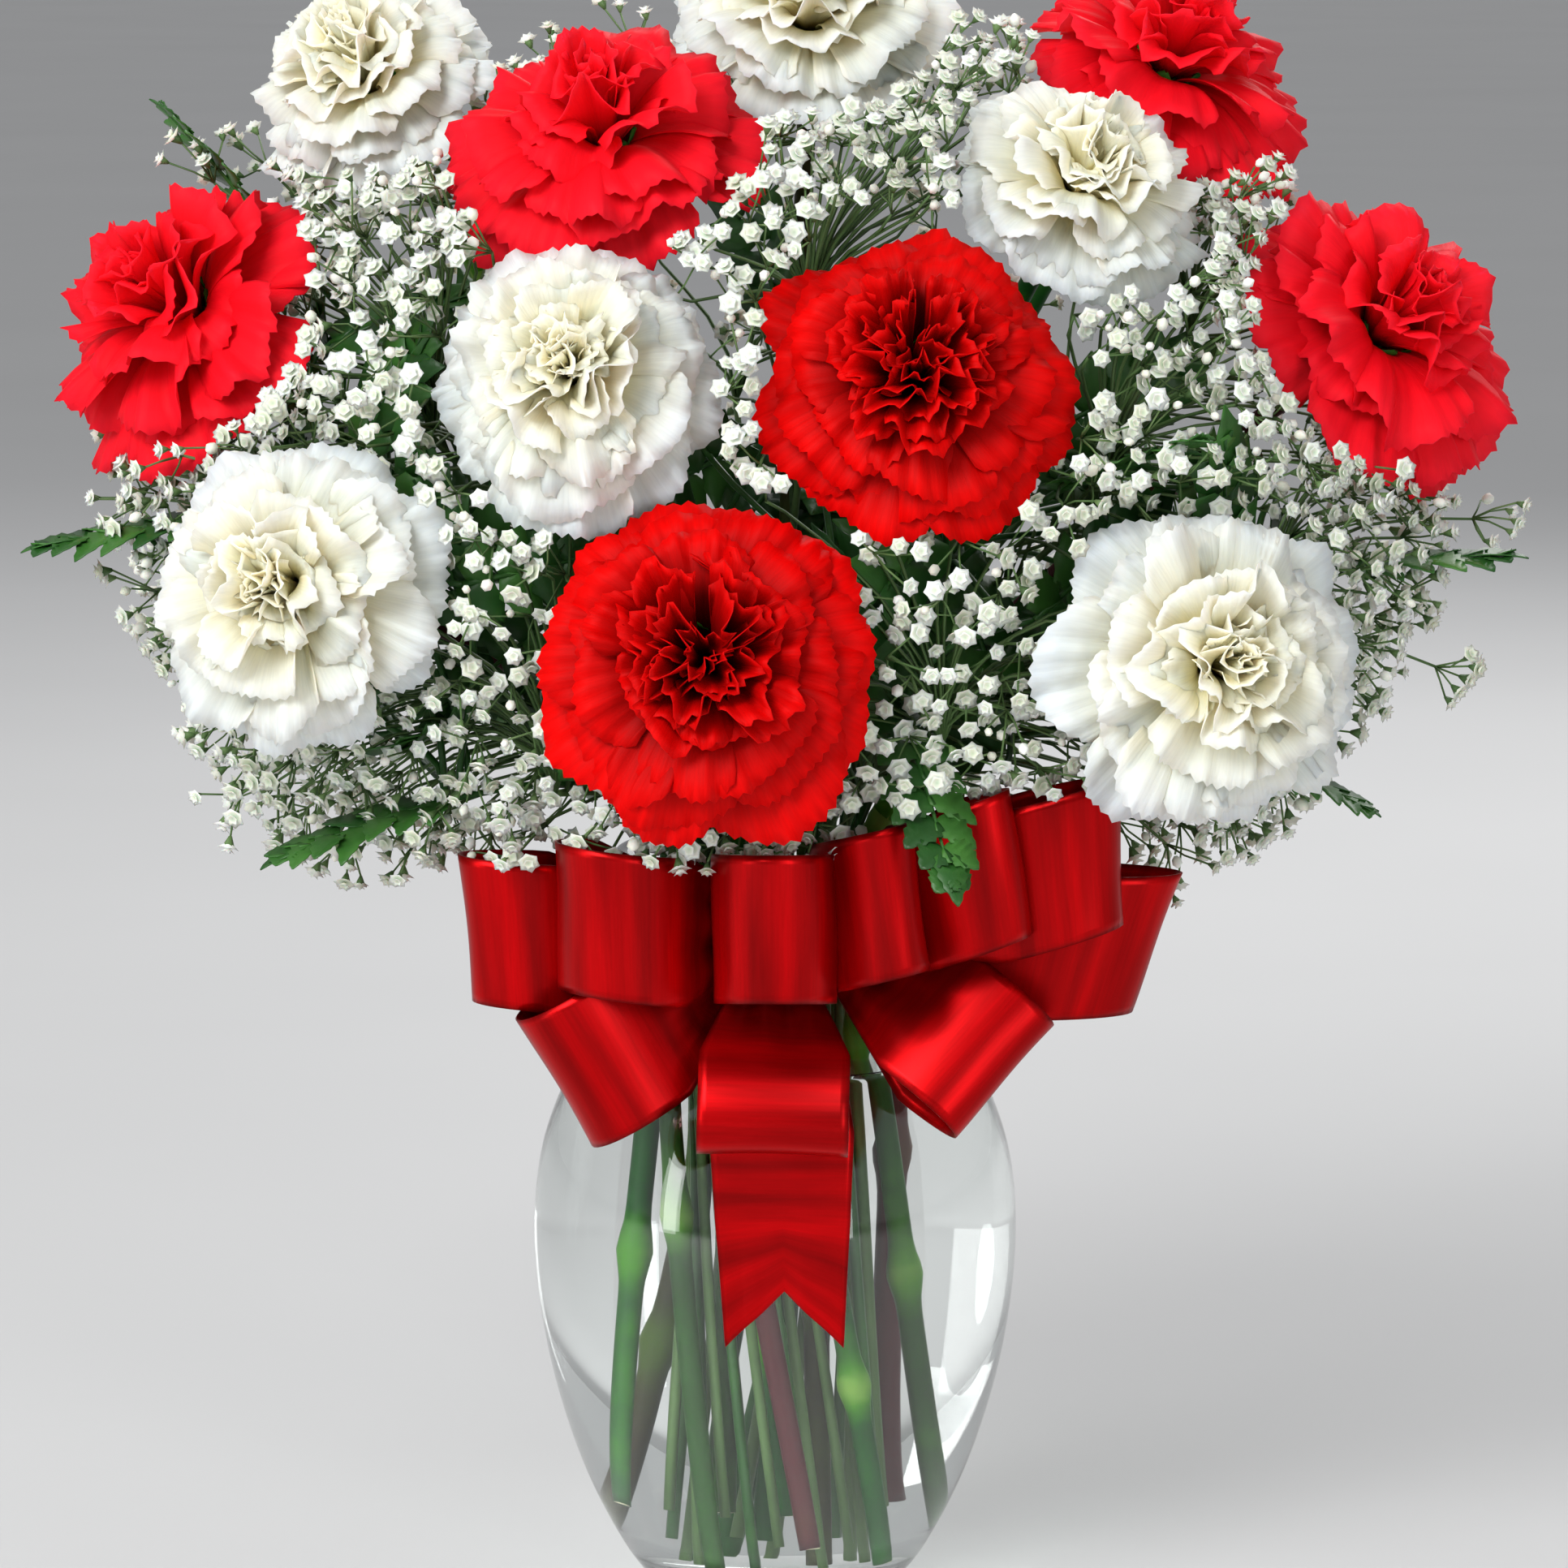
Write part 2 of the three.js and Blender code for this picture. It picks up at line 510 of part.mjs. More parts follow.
// The triangles between two closed rings.
function zipped(ring, next) {
  if (ring.length > next.length) return zipped(next, ring).map((face) => face.reverse());
  const faces = [];
  let [i, j] = [0, 0];
  while (i < ring.length || j < next.length) {
    const [a, b] = [ring[i % ring.length], next[j % next.length]];
    const shorterIsNext = i < ring.length && (i + 1) / ring.length <= (j + 1) / next.length;
    if (j === next.length || shorterIsNext) {
      faces.push([a, ring[(i + 1) % ring.length], b]);
      i++;
    } else {
      faces.push([a, next[(j + 1) % next.length], b]);
      j++;
    }
  }
  return faces;
}

// A frame at a place whose X runs along one direction and whose Z is as near up as it can be.
function leafFrame(from, to, up) {
  const x = to.clone().sub(from).normalize();
  const y = up.clone().cross(x).normalize();
  return new THREE.Matrix4().makeBasis(x, y, x.clone().cross(y)).setPosition(from);
}

// The outline of a frond: toothed leaflets in pairs, cut nearly to the rib.
function frondOutline(length, width) {
  const side = (sign) => {
    const points = [];
    for (let i = 0; i < LEAFLET_PAIRS; i++) {
      const t = i / LEAFLET_PAIRS;
      const reach = (width / 2) * (0.55 + 1.5 * t) * (1 - t ** 1.5);
      points.push([length * t, sign * RIB]);
      points.push([length * (t + 0.13), sign * reach * 0.86]);
      points.push([length * (t + 0.2), sign * reach]);
    }
    return points;
  };
  return [...side(-1), [length, 0], ...side(1).reverse()].map(flat);
}

// A fern frond on its stem.
function frond(leaf, slot, neighbours) {
  return bentClear(leaf.name, neighbours, (bend, grow) => {
    const from = vec(leaf.from).add(bend);
    const to = vec(leaf.to).add(bend);
    const outward = from.clone().setZ(0).normalize();
    const up = UP.clone().addScaledVector(outward, LEAF_LEAN).normalize();
    const forward = to.clone().sub(from).normalize();
    const outline = frondOutline(from.distanceTo(to), leaf.width);
    const leaflets = arched(outline, LEAF + grow, leafFrame(from, to, up));
    const { line, bore } = thinStem(slot, from.addScaledVector(forward, LEAF_OVERLAP), forward, bend);
    return { shape: stalk(line, line.map(() => TWIG_RADIUS + grow), TWIG_SIDES).add(leaflets), bore };
  });
}

// A thin stem from its place on the ring of thin stems up to where its leaf or twigs start.
function thinStem(slot, end, faces, bend) {
  const angle = -180 + slot.share * 360;
  const neck = polar(angle, THIN_RING.radius, NECK_HEIGHT);
  const foot = stemFoot(angle, THIN_RING, slot.order);
  const bored = [foot.clone().lerp(neck, BORE_START), neck];
  return {
    line: [foot, ...stemLine(foot, neck, end, faces, bend)],
    bore: stalk(bored, [THIN_BORE_RADIUS, THIN_BORE_RADIUS], THIN_BORE_SIDES),
  };
}

// Makes a thing with its stem bent a little further at each try, until it is clear of its
// neighbours by the clearance.
function bentClear(name, neighbours, make) {
  const random = seeded(name.length * 31 + name.charCodeAt(name.length - 3));
  const inTheWay = new Set();
  for (let attempt = 0; attempt < BEND_TRIES; attempt++) {
    const bend = new THREE.Vector3(random() - 0.5, random() - 0.5, random() - 0.5);
    bend.multiplyScalar(Math.min(attempt * BEND_STEP, BEND_LIMIT));
    const blocking = neighbours.filter((other) => meet(make(bend, CLEARANCE).shape, other.shape));
    if (!blocking.length) return { name, ...make(bend, 0) };
    blocking.forEach((other) => inTheWay.add(other.name));
  }
  throw new Error(`no clear way for ${name} past ${[...inTheWay].join(", ")}`);
}

// A stem or twig of three sides that runs on through florets, each a cup of five petals. It can be
// grown by a margin, to test that it is clear of its neighbours.
function flowering(line, radius, tips, grow) {
  const points = [...line.map((at) => ({ at })), ...tips];
  const rings = [];
  let side = new THREE.Vector3(0.3, 0.9, 0.2);
  points.forEach(({ at, size }, i) => {
    const before = points[Math.max(i - 1, 0)].at;
    const after = size ? at : points[Math.min(i + 1, points.length - 1)].at;
    const forward = after.clone().sub(before).normalize();
    side = side.clone().addScaledVector(forward, -side.dot(forward)).normalize();
    const other = forward.clone().cross(side);
    const ring = (shift, reach, sides) =>
      Array.from({ length: sides }, (_, k) => {
        const turn = (2 * Math.PI * k) / sides;
        return at
          .clone()
          .addScaledVector(forward, shift)
          .addScaledVector(side, (reach + grow) * Math.cos(turn))
          .addScaledVector(other, (reach + grow) * Math.sin(turn));
      });
    if (size) {
      rings.push(ring(-0.6 * size - grow, FLORET_NECK, TWIG_SIDES));
      rings.push(ring(0, size, FLORET_SIDES));
      rings.push(ring(0.45 * size + grow, 0.4 * size, TWIG_SIDES));
    } else {
      rings.push(ring(0, radius, TWIG_SIDES));
    }
  });
  return solid(sleeve(rings));
}

// A spray of baby's breath: branches that leave one stem and wander outwards from floret to floret,
// each clear of its neighbours. The first branch is the stem itself, run on.
function spray(plan, slot, neighbours, index) {
  const random = seeded(500 + index);
  const middle = vec(plan.at);
  const base = vec(SPRAY_ROOT).lerp(middle, SPRAY_START);
  const outward = middle.clone().sub(base).normalize();
  const side = UP.clone().cross(outward).normalize();
  const over = outward.clone().cross(side);
  const { line, bore } = bentClear(plan.name, neighbours, (bend, grow) => {
    const low = base.clone().add(bend);
    const made = thinStem(slot, low, outward, bend);
    made.line.push(low.clone().lerp(middle, 0.5));
    return { ...made, shape: flowering(made.line, TWIG_RADIUS, [], grow) };
  });
  const tips = [];
  const branches = Array.from({ length: BRANCHES }, (_, branch) => {
    const start = branch ? [line.at(-2).clone().lerp(line.at(-1), 0.3 * branch)] : line;
    const radius = branch ? BRANCH_RADIUS : TWIG_RADIUS;
    const turn = 2 * Math.PI * (branch / BRANCHES + 0.2 * random());
    const mine = [];
    for (let n = 0; n < BRANCH_FLORETS; n++) {
      const reach = (plan.spread * (n + 1)) / BRANCH_FLORETS;
      const aim = middle
        .clone()
        .addScaledVector(side, BRANCH_REACH * reach * Math.cos(turn))
        .addScaledVector(over, BRANCH_REACH * reach * Math.sin(turn))
        .addScaledVector(outward, -BRANCH_FALL * reach);
      const path = [...start, ...mine.map(({ at }) => at)];
      const fits = (tip) => {
        const ahead = tip.at.clone().sub(path.at(-1));
        const behind = path.length > 1 ? path.at(-1).clone().sub(path.at(-2)) : ahead;
        if (ahead.length() < FLORET_LINK || ahead.angleTo(behind) > FLORET_TURN) return false;
        if (tips.some((other) => other.at.distanceTo(tip.at) < FLORET_SPACING)) return false;
        const room = flowering(start, radius, [...mine, tip], CLEARANCE);
        return !neighbours.some((other) => meet(room, other.shape));
      };
      const tip = freeTip(aim, random, fits);
      if (!tip) continue;
      mine.push(tip);
      tips.push(tip);
    }
    return flowering(start, radius, mine, 0);
  });
  return { name: plan.name, shape: joined(branches), bore };
}

// A floret's place and size near an aim, further from it at each try until it fits.
function freeTip(aim, random, fits) {
  for (let attempt = 0; attempt < FLORET_TRIES; attempt++) {
    const shift = new THREE.Vector3(random() - 0.5, random() - 0.5, random() - 0.5);
    const tip = {
      at: aim.clone().addScaledVector(shift, THREE.MathUtils.lerp(...FLORET_DRIFT, attempt / FLORET_TRIES)),
      size: FLORET_RADIUS * (0.85 + 0.3 * random()),
    };
    if (fits(tip)) return tip;
  }
  return null;
}

function meet(a, b) {
  const [p, q] = [a.boundingBox(), b.boundingBox()];
  const near = [0, 1, 2].every((k) => p.min[k] < q.max[k] && q.min[k] < p.max[k]);
  return near && !a.intersect(b).isEmpty();
}

// The middle of the knot, in front of the band round the neck.
const bandRadius = vaseRadius(BAND_LEVELS[0]) + GAP + BAND;
const knotAt = new THREE.Vector3(0, -(bandRadius + GAP + KNOT_SIZE[1]), KNOT_HEIGHT);

// A loop of ribbon from the knot and back: a teardrop, pinched where it starts.
function ribbonLoop(loop) {
  const ahead = vec(loop.points).normalize();
  const across = vec(loop.across);
  across.addScaledVector(ahead, -across.dot(ahead)).normalize();
  const bulge = ahead.clone().cross(across);
  const start = knotAt.clone().add(new THREE.Vector3(loop.from[0], 0, loop.from[1]));
  const rows = LOOP_TURN.map((u) => {
    const reach = Math.sin(Math.PI * u) ** 2;
    const out = LOOP_SWELL * Math.sin(2 * Math.PI * u) * Math.sin(Math.PI * u);
    const point = start
      .clone()
      .addScaledVector(ahead, loop.length * reach)
      .addScaledVector(bulge, loop.bulge * out + RIBBON * 1.5 * Math.cos(Math.PI * u));
    return {
      point,
      half: (RIBBON_WIDTH / 2) * (PINCH + (1 - PINCH) * Math.min(1, 1.6 * reach)),
      across: across.clone().addScaledVector(ahead, loop.lean * reach).normalize(),
    };
  });
  return ribbon(rows);
}

// A strip of ribbon through points, with a half width and the way the width lies at each. A notch is
// cut into its last end.
function ribbon(rows, notch = 0) {
  const last = rows.length - 1;
  const strip = rows.map(({ point, half, across }, i) => {
    const behind = rows[Math.max(i - 1, 0)].point;
    const forward = rows[Math.min(i + 1, last)].point.clone().sub(behind).normalize();
    const normal = across.clone().cross(forward).normalize();
    const at = (s, back) => ({
      point: point.clone().addScaledVector(across, s * half).addScaledVector(forward, -back),
      normal,
    });
    return notch && i === last ? [at(-1, 0), at(0, notch), at(1, 0)] : [at(-1, 0), at(1, 0)];
  });
  return blade(strip, RIBBON);
}

function bow() {
  const knot = new THREE.SphereGeometry(1, 8, 5).scale(...KNOT_SIZE).translate(...knotAt);
  const tail = TAIL.map(({ at, half }) => ({ point: vec(at), half, across: vec([1, 0, 0]) }));
  return joined([solid(knot), ribbon(tail, NOTCH), ...LOOPS.map(ribbonLoop)]);
}

function finish(name, shape, color, roughness) {
  const material = new THREE.MeshStandardMaterial({ color, roughness, metalness: 0 });
  const mesh = new THREE.Mesh(geometryOf(shape), material);
  mesh.name = name;
  return mesh;
}

const glass = vase();
const band = neckBand();
const ribbonBow = largestBody(bow());
const placed = [
  { name: "vase", shape: glass },
  { name: "ribbon_band", shape: band },
  { name: "ribbon_bow", shape: ribbonBow },
];
const flowers = [...OUTER_BLOOMS, ...INNER_BLOOMS].map((bloom, i) => {
  const made = carnation(bloom, i < OUTER_BLOOMS.length ? OUTER_RING : INNER_RING, i, placed);
  placed.push({ name: "stem_" + bloom.name, shape: made.stem });
  placed.push({ name: "carnation_" + bloom.name, shape: made.petals });
  return made;
});

// The thin stems take their places on their ring in the order of the angles of what they carry.
const angleOf = (p) => Math.atan2(p[0], -p[1]);
const thin = [...FRONDS.map((leaf) => leaf.to), ...SPRAYS.map((plan) => plan.at)];
const order = thin.map((_, i) => i).sort((a, b) => angleOf(thin[a]) - angleOf(thin[b]));
const slotOf = (i) => ({ order: order.indexOf(i), share: (order.indexOf(i) + 0.5) / thin.length });
const grow = (plans, first, make) =>
  plans.map((plan, i) => {
    const made = make(plan, slotOf(first + i), placed, i);
    placed.push(made);
    return made;
  });
const fronds = grow(FRONDS, 0, frond);
const sprays = grow(SPRAYS, FRONDS.length, spray);
const bores = [...flowers, ...fronds, ...sprays].map((piece) => piece.bore);

const bouquet = new THREE.Group();
bouquet.add(finish("vase", glass, 0xdfe6e6, 0.05));
bouquet.add(finish("water", largestBody(waterBody().subtract(joined(bores))), 0xe8eeee, 0.02));
bouquet.add(finish("ribbon_band", band, 0xb50008, 0.35));
bouquet.add(finish("ribbon_bow", ribbonBow, 0xc00008, 0.35));
for (const { name, stem, petals } of flowers) {
  bouquet.add(finish("stem_" + name, stem, 0x5f8a4a, 0.6));
  bouquet.add(finish("carnation_" + name, petals, name.startsWith("red") ? 0xe01018 : 0xf2f0e2, 0.75));
}
for (const { name, shape } of fronds) bouquet.add(finish(name, shape, 0x1f5a26, 0.55));
for (const { name, shape } of sprays) bouquet.add(finish(name, shape, 0xe6e8dc, 0.8));

export default bouquet;
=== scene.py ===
"""A dozen carnations with baby's breath and fern in a vase of water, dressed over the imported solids."""

import math

import bpy
import numpy as np
from mathutils import Matrix


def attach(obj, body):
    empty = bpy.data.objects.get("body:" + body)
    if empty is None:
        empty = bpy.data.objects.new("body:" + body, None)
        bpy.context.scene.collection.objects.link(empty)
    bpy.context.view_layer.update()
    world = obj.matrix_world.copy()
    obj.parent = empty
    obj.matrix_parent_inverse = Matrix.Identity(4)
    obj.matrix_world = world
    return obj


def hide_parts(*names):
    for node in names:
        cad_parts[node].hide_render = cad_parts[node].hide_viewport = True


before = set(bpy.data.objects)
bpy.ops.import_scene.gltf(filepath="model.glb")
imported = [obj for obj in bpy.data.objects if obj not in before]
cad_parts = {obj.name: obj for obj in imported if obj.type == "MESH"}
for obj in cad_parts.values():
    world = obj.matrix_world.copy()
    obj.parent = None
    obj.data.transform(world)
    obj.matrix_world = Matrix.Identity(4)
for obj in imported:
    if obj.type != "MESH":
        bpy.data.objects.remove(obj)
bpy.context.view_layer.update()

# Sizes are in millimetres here, and become metres in each mesh.
MM = 0.001
UP = np.array((0.0, 0.0, 1.0))

VASE_HEIGHT = 178
NECK_HEIGHT = 163
GLASS = 3.2
GLASS_BASE = 9
GLASS_FLOOR = [(30, 11.6), (26, 10.2), (20, 9.4), (12, 9.05)]
WATER_LEVEL = 131
VASE_OUTLINE = [  # radius and height
    (28, 1.6), (36.8, 13.5), (46.2, 33), (53.6, 58), (56.9, 84), (55.6, 105), (50.4, 121.6),
    (42.2, 137), (35, 151), (33, NECK_HEIGHT), (34.2, 170), (37.6, VASE_HEIGHT),
]
STEM_RADIUS = 2.3
STEM_POINTS = 110
STEM_SIDES = 12
STEM_PURPLES = (0.0, 0.15, 0.9, 0.0, 0.5)
JOINT_RADIUS = 3.4
JOINT_GAPS = (52, 66)
JOINT_HALF = 4.2
CALYX_LENGTH = 25
CALYX_RADIUS = 6.4
# Rows of a calyx tooth and of a bract below it: height, half the width and how far it leans out.
CALYX_TEETH = ((-3, 3.6, 0.15), (0, 3.4, 0.3), (3, 2.2, 0.9), (5.2, 0.3, 1.9))
CALYX_BRACTS = ((0, 2.4, 0.42), (3, 3.4, 0.75), (6, 2.6, 0.85), (8.5, 0.3, 0.95))
FACE_HEIGHT = 0.1

OUTER_RING = (23.5, 0.78)
INNER_RING = (10.5, 0.23)
FOOT_TURN = 60

# name, middle of the face, way it faces, radius, angle of the stem at the neck, ring at the neck
BLOOMS = [
    ("red_front", (-15, -106, 238), (-0.05, -0.96, 0.26), 38.5, -2, OUTER_RING),
    ("white_front_right", (96, -88, 235), (0.3, -0.94, 0.14), 37, 46, OUTER_RING),
    ("red_right", (139, -20, 303), (0.62, -0.55, 0.56), 36, 92, OUTER_RING),
    ("red_top_right", (91, 10, 362), (0.38, -0.5, 0.78), 35, 137, OUTER_RING),
    ("white_top", (8, 6, 373), (0.02, -0.6, 0.8), 33, 182, OUTER_RING),
    ("white_top_left", (-94, 6, 358), (-0.36, -0.58, 0.73), 30, 226, OUTER_RING),
    ("red_left", (-135, -20, 307), (-0.6, -0.55, 0.58), 36, 271, OUTER_RING),
    ("white_front_left", (-106, -84, 251), (-0.3, -0.94, 0.17), 34.5, 315, OUTER_RING),
    ("white_middle_left", (-44, -84, 298), (-0.14, -0.92, 0.36), 33.5, -48, INNER_RING),
    ("red_middle_right", (31, -84, 298), (0.08, -0.91, 0.4), 36, 42, INNER_RING),
    ("white_upper_right", (68, -48.5, 337), (0.3, -0.66, 0.69), 30, 132, INNER_RING),
    ("red_upper_left", (-39, -42, 348), (-0.12, -0.56, 0.82), 36, 222, INNER_RING),
]
# The hearts of these two are split by a cleft that points up, dark from its own shade and from painted shade
# on the petals near their claws and heart.
CLEFT_BLOOMS = ("red_front", "red_middle_right")

# Petals of a bloom of radius 1, from the outermost layer in: how many, the bend and the rim of
# their line as distance from the axis and height, half their width, the size of their folds, how
# much they differ in length, and the columns of points across one.
WHITE_LAYERS = [
    (7, (0.58, 0.12), (1.0, -0.1), 0.56, 0.05, 0.08, 28),
    (7, (0.54, 0.26), (0.94, 0.08), 0.52, 0.06, 0.12, 28),
    (7, (0.46, 0.4), (0.82, 0.27), 0.46, 0.075, 0.15, 26),
    (6, (0.36, 0.52), (0.66, 0.44), 0.42, 0.09, 0.18, 24),
    (6, (0.26, 0.58), (0.5, 0.56), 0.34, 0.1, 0.18, 22),
    (6, (0.17, 0.61), (0.35, 0.65), 0.3, 0.1, 0.16, 18),
    (5, (0.09, 0.63), (0.23, 0.72), 0.27, 0.085, 0.14, 16),
    (4, (0.04, 0.64), (0.12, 0.76), 0.2, 0.05, 0.12, 14),
    (3, (0.01, 0.6), (0.05, 0.74), 0.14, 0.035, 0.1, 10),
]
SCARLET_LAYERS = [
    (6, (0.58, 0.1), (1.03, -0.14), 0.6, 0.05, 0.1, 30),
    (6, (0.52, 0.22), (0.95, 0.04), 0.58, 0.065, 0.14, 30),
    (6, (0.44, 0.36), (0.82, 0.2), 0.5, 0.085, 0.16, 28),
    (5, (0.32, 0.48), (0.64, 0.4), 0.44, 0.1, 0.18, 24),
    (5, (0.2, 0.56), (0.42, 0.56), 0.34, 0.1, 0.16, 20),
    (4, (0.1, 0.6), (0.23, 0.68), 0.26, 0.08, 0.12, 16),
    (4, (0.03, 0.58), (0.08, 0.68), 0.18, 0.05, 0.1, 12),
]
SCARLET_DROOP = 0.1  # how much longer the petals that hang down are
CLEFT_LAYERS = [
    (7, (0.56, 0.12), (1.0, -0.05), 0.56, 0.03, 0.04, 28),
    (7, (0.5, 0.25), (0.92, 0.08), 0.54, 0.035, 0.05, 28),
    (7, (0.42, 0.35), (0.79, 0.22), 0.48, 0.045, 0.08, 26),
    (9, (0.34, 0.4), (0.6, 0.44), 0.25, 0.06, 0.14, 16),
    (9, (0.27, 0.42), (0.49, 0.56), 0.22, 0.06, 0.14, 14),
    (8, (0.2, 0.4), (0.37, 0.56), 0.2, 0.06, 0.14, 14),
    (7, (0.12, 0.44), (0.25, 0.62), 0.18, 0.055, 0.14, 14),
    (4, (0.05, 0.46), (0.12, 0.6), 0.15, 0.05, 0.1, 14),
]
CLEFT_FROM = 3  # the outermost layer that the cleft parts
CLEFT_HALF = 0.045
PETAL_ROOT = 0.12
PETAL_ROWS = 6
PETAL_THICKNESS = 0.22
PLEAT = 0.021
TOOTH = 0.014

# Sprays of baby's breath: name, and the middle of what each one fills.
SPRAYS = [
    ("front_left", (-62, -84, 205)),
    ("front_right", (47, -96, 222)),
    ("left", (-98, -46, 302)),
    ("middle", (10, -62, 335)),
    ("right", (95, -58, 286)),
    ("far_right", (142, -58, 244)),
    ("top_left", (-46, 34, 358)),
    ("top_right", (122, 0, 328)),
    ("far_left", (-140, -24, 252)),
    ("back_left", (-82, 64, 286)),
    ("back", (-12, 84, 300)),
    ("back_right", (88, 64, 280)),
]
# The dome that the flowers fill.
DOME_MIDDLE = np.array((0.0, -12.0, 262.0))
DOME_SIZE = np.array((152.0, 90.0, 112.0))
DOME_FOOT = 184
FORK_TRIES = 60000
FORK_SPACING = (11.1, 24.0)  # at the front and at the back
FRONT_LIMIT = 8  # forks with a smaller y than this stand at the front
# Forks that reach out past the dome.
STRAY_FORKS = [
    (-141, 4, 326), (-130, 8, 334), (-118, 10, 338), (161, -12, 258), (151, -30, 226), (-121, -45, 199),
    (147, -5, 318),
]
FORK_DEPTH = (0.8, 0.96)
FORK_FLORETS = (4, 8)
FORK_RADIUS = 9.5
FORK_RISE = (3, 12)  # how far the florets stand above their fork
FLORET_TRIES = 60
FLORET_RADIUS = 2.7
FLORET_SPACING = 4.3
FLORETS_COMPARED = 600  # how many of the last florets a new one keeps away from
BUD_SHARE = 0.16

# Fronds of fern: name, start and tip of the leaf, and its width.
FRONDS = [
    ("left", (-118, -40, 262), (-167, -38, 258), 26),
    ("upper_left", (-117, 10, 322), (-140, 8, 352), 18),
    ("lower_left", (-72, -56, 200), (-112, -66, 190), 24),
    ("middle", (28, -66, 222), (40, -104, 190), 20),
    ("right", (116, -32, 248), (166, -36, 256), 26),
    ("between", (62, -52, 268), (92, -82, 286), 24),
    ("lower_right", (104, -30, 208), (136, -40, 196), 24),
    ("back_left", (-62, 66, 230), (-104, 92, 222), 30),
    ("back", (0, 76, 224), (4, 118, 206), 30),
    ("back_right", (62, 66, 230), (106, 92, 220), 30),
]
LEAF_DROOP = 0.0016
LEAF_LEAN = 0.45
LEAF_THICKNESS = 0.3
TWIG_RADIUS = 1.1
SIDE_FRONDS = 8  # on each stem of fern
SIDE_TRIES = 600
SIDE_DEPTH = (0.45, 0.84)

RIBBON_WIDTH = 34
RIBBON = 0.5
RIBBON_COLUMNS = 16
LOOP_POINTS = 53
BAND_BOTTOM = 157
BAND_TOP = 169
BAND_RADIUS = 34
BAND_THICKNESS = 0.4
KNOT_SIZE = (18, 6, 9)
KNOT_MIDDLE = np.array((0.0, -41.8, 165.0))
# start sideways and up from the knot, way it points, length, bulge, way the width lies and how far
# that width leans forward at the round end
LOOPS = [
    ((0, 3), (0, -1, 0.16), 50, 13, (0, 0, 1), 0.25),
    ((-7, 3), (-0.68, -0.72, 0.15), 55, 14, (0.05, 0, 1), 0.25),
    ((-12, 0), (-0.93, -0.34, 0.1), 61, 10, (0.02, 0, 1), 0.2),
    ((5, 4), (0.45, -0.85, 0.24), 52, 9, (-0.16, 0, 1), 0.25),
    ((9, 4), (0.76, -0.57, 0.32), 59, 9.5, (-0.24, 0, 1), 0.25),
    ((13, 4), (0.9, -0.32, 0.28), 71, 11, (-0.2, 0, 1), 0.25),
    ((1, -4), (-0.03, -0.66, -0.74), 51, 9, (1, 0, 0), 0),
    ((-9, -4), (-0.72, -0.53, -0.44), 54, 12, (0.42, 0, -0.9), 0),
    ((13, -2), (0.66, -0.5, -0.42), 54, 9, (1, 0, 0.42), 0),
    ((14, 0), (0.97, -0.05, 0), 73, 10, (0, 0, 1), 0.36),
]
LOOP_SWELL = 1.3
PINCH = 0.28
TAIL = [  # place and half the width
    ((0, -44, 160), 5), ((1, -57, 142), 14), ((1.5, -61, 124), 16.5), ((1.8, -62, 104), 15.4),
    ((2.2, -61.5, 74), 13.5),
]
NOTCH = 13

FLOOR_HALF = 12000

CAMERA_TARGET = (2.1, 0.0, 194.1)
CAMERA_PLACE = (2.1, -1481.5, 428.8)
CAMERA_LENS = 147.1

MARKS = ("along", "across", "heart", "tone")


def unit(v):
    v = np.asarray(v, float)
    return v / np.linalg.norm(v)


def units(rows):
    return rows / np.linalg.norm(rows, axis=1, keepdims=True)


def distances(line):
    """How far along a line each of its points lies."""
    return np.concatenate([[0], np.cumsum(np.linalg.norm(np.diff(line, axis=0), axis=1))])


def polar(angle, radius, z):
    turn = math.radians(angle)
    return np.array((radius * math.sin(turn), -radius * math.cos(turn), z))


def bezier(points, steps):
    """Points along a curve with two ends and two handles."""
    a, b, c, d = (np.asarray(p, float) for p in points)
    t = np.linspace(0, 1, steps + 1)[:, None]
    return (1 - t) ** 3 * a + 3 * (1 - t) ** 2 * t * b + 3 * (1 - t) * t * t * c + t**3 * d


def smooth_line(points, steps):
    """A smooth curve through points, with so many steps between two of them."""
    points = [np.asarray(p, float) for p in points]
    padded = [2 * points[0] - points[1], *points, 2 * points[-1] - points[-2]]
    line = []
    for a, b, c, d in zip(padded, padded[1:], padded[2:], padded[3:]):
        line.extend(bezier((b, b + (c - a) / 6, c - (d - b) / 6, c), steps)[:-1])
    return np.array([*line, points[-1]])


class Pile:
    """What becomes one mesh: points, faces with a material number each, and marks, the numbers
    that the materials read at each point."""

    def __init__(self):
        self.points, self.faces, self.kinds, self.marks = [], [], [], []
        self.count = 0

    def add(self, shape, kind=0, along=0.0, across=0.0, heart=0.0, tone=0.0):
        points, blocks = shape
        marks = np.empty((len(points), len(MARKS)))
        for i, value in enumerate((along, across, heart, tone)):
            marks[:, i] = value
        self.points.append(points)
        self.marks.append(marks)
        for block in blocks:
            self.faces.extend((np.asarray(block) + self.count).tolist())
            self.kinds.extend([kind] * len(block))
        self.count += len(points)

    def piece(self, name, materials):
        mesh = bpy.data.meshes.new(name)
        mesh.from_pydata((np.concatenate(self.points) * MM).tolist(), [], self.faces)
        marks = np.concatenate(self.marks)
        for i, label in enumerate(MARKS):
            mesh.attributes.new(label, "FLOAT", "POINT").data.foreach_set("value", marks[:, i].copy())
        for material in materials:
            mesh.materials.append(material)
        mesh.polygons.foreach_set("material_index", self.kinds)
        mesh.polygons.foreach_set("use_smooth", [True] * len(self.faces))
        mesh.update()
        return added(name, mesh)


def added(name, data):
    obj = bpy.data.objects.new(name, data)
    bpy.context.scene.collection.objects.link(obj)
    return obj


def placed(piece, slot, *nodes):
    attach(piece, "root")
    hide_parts(*nodes)
    return piece


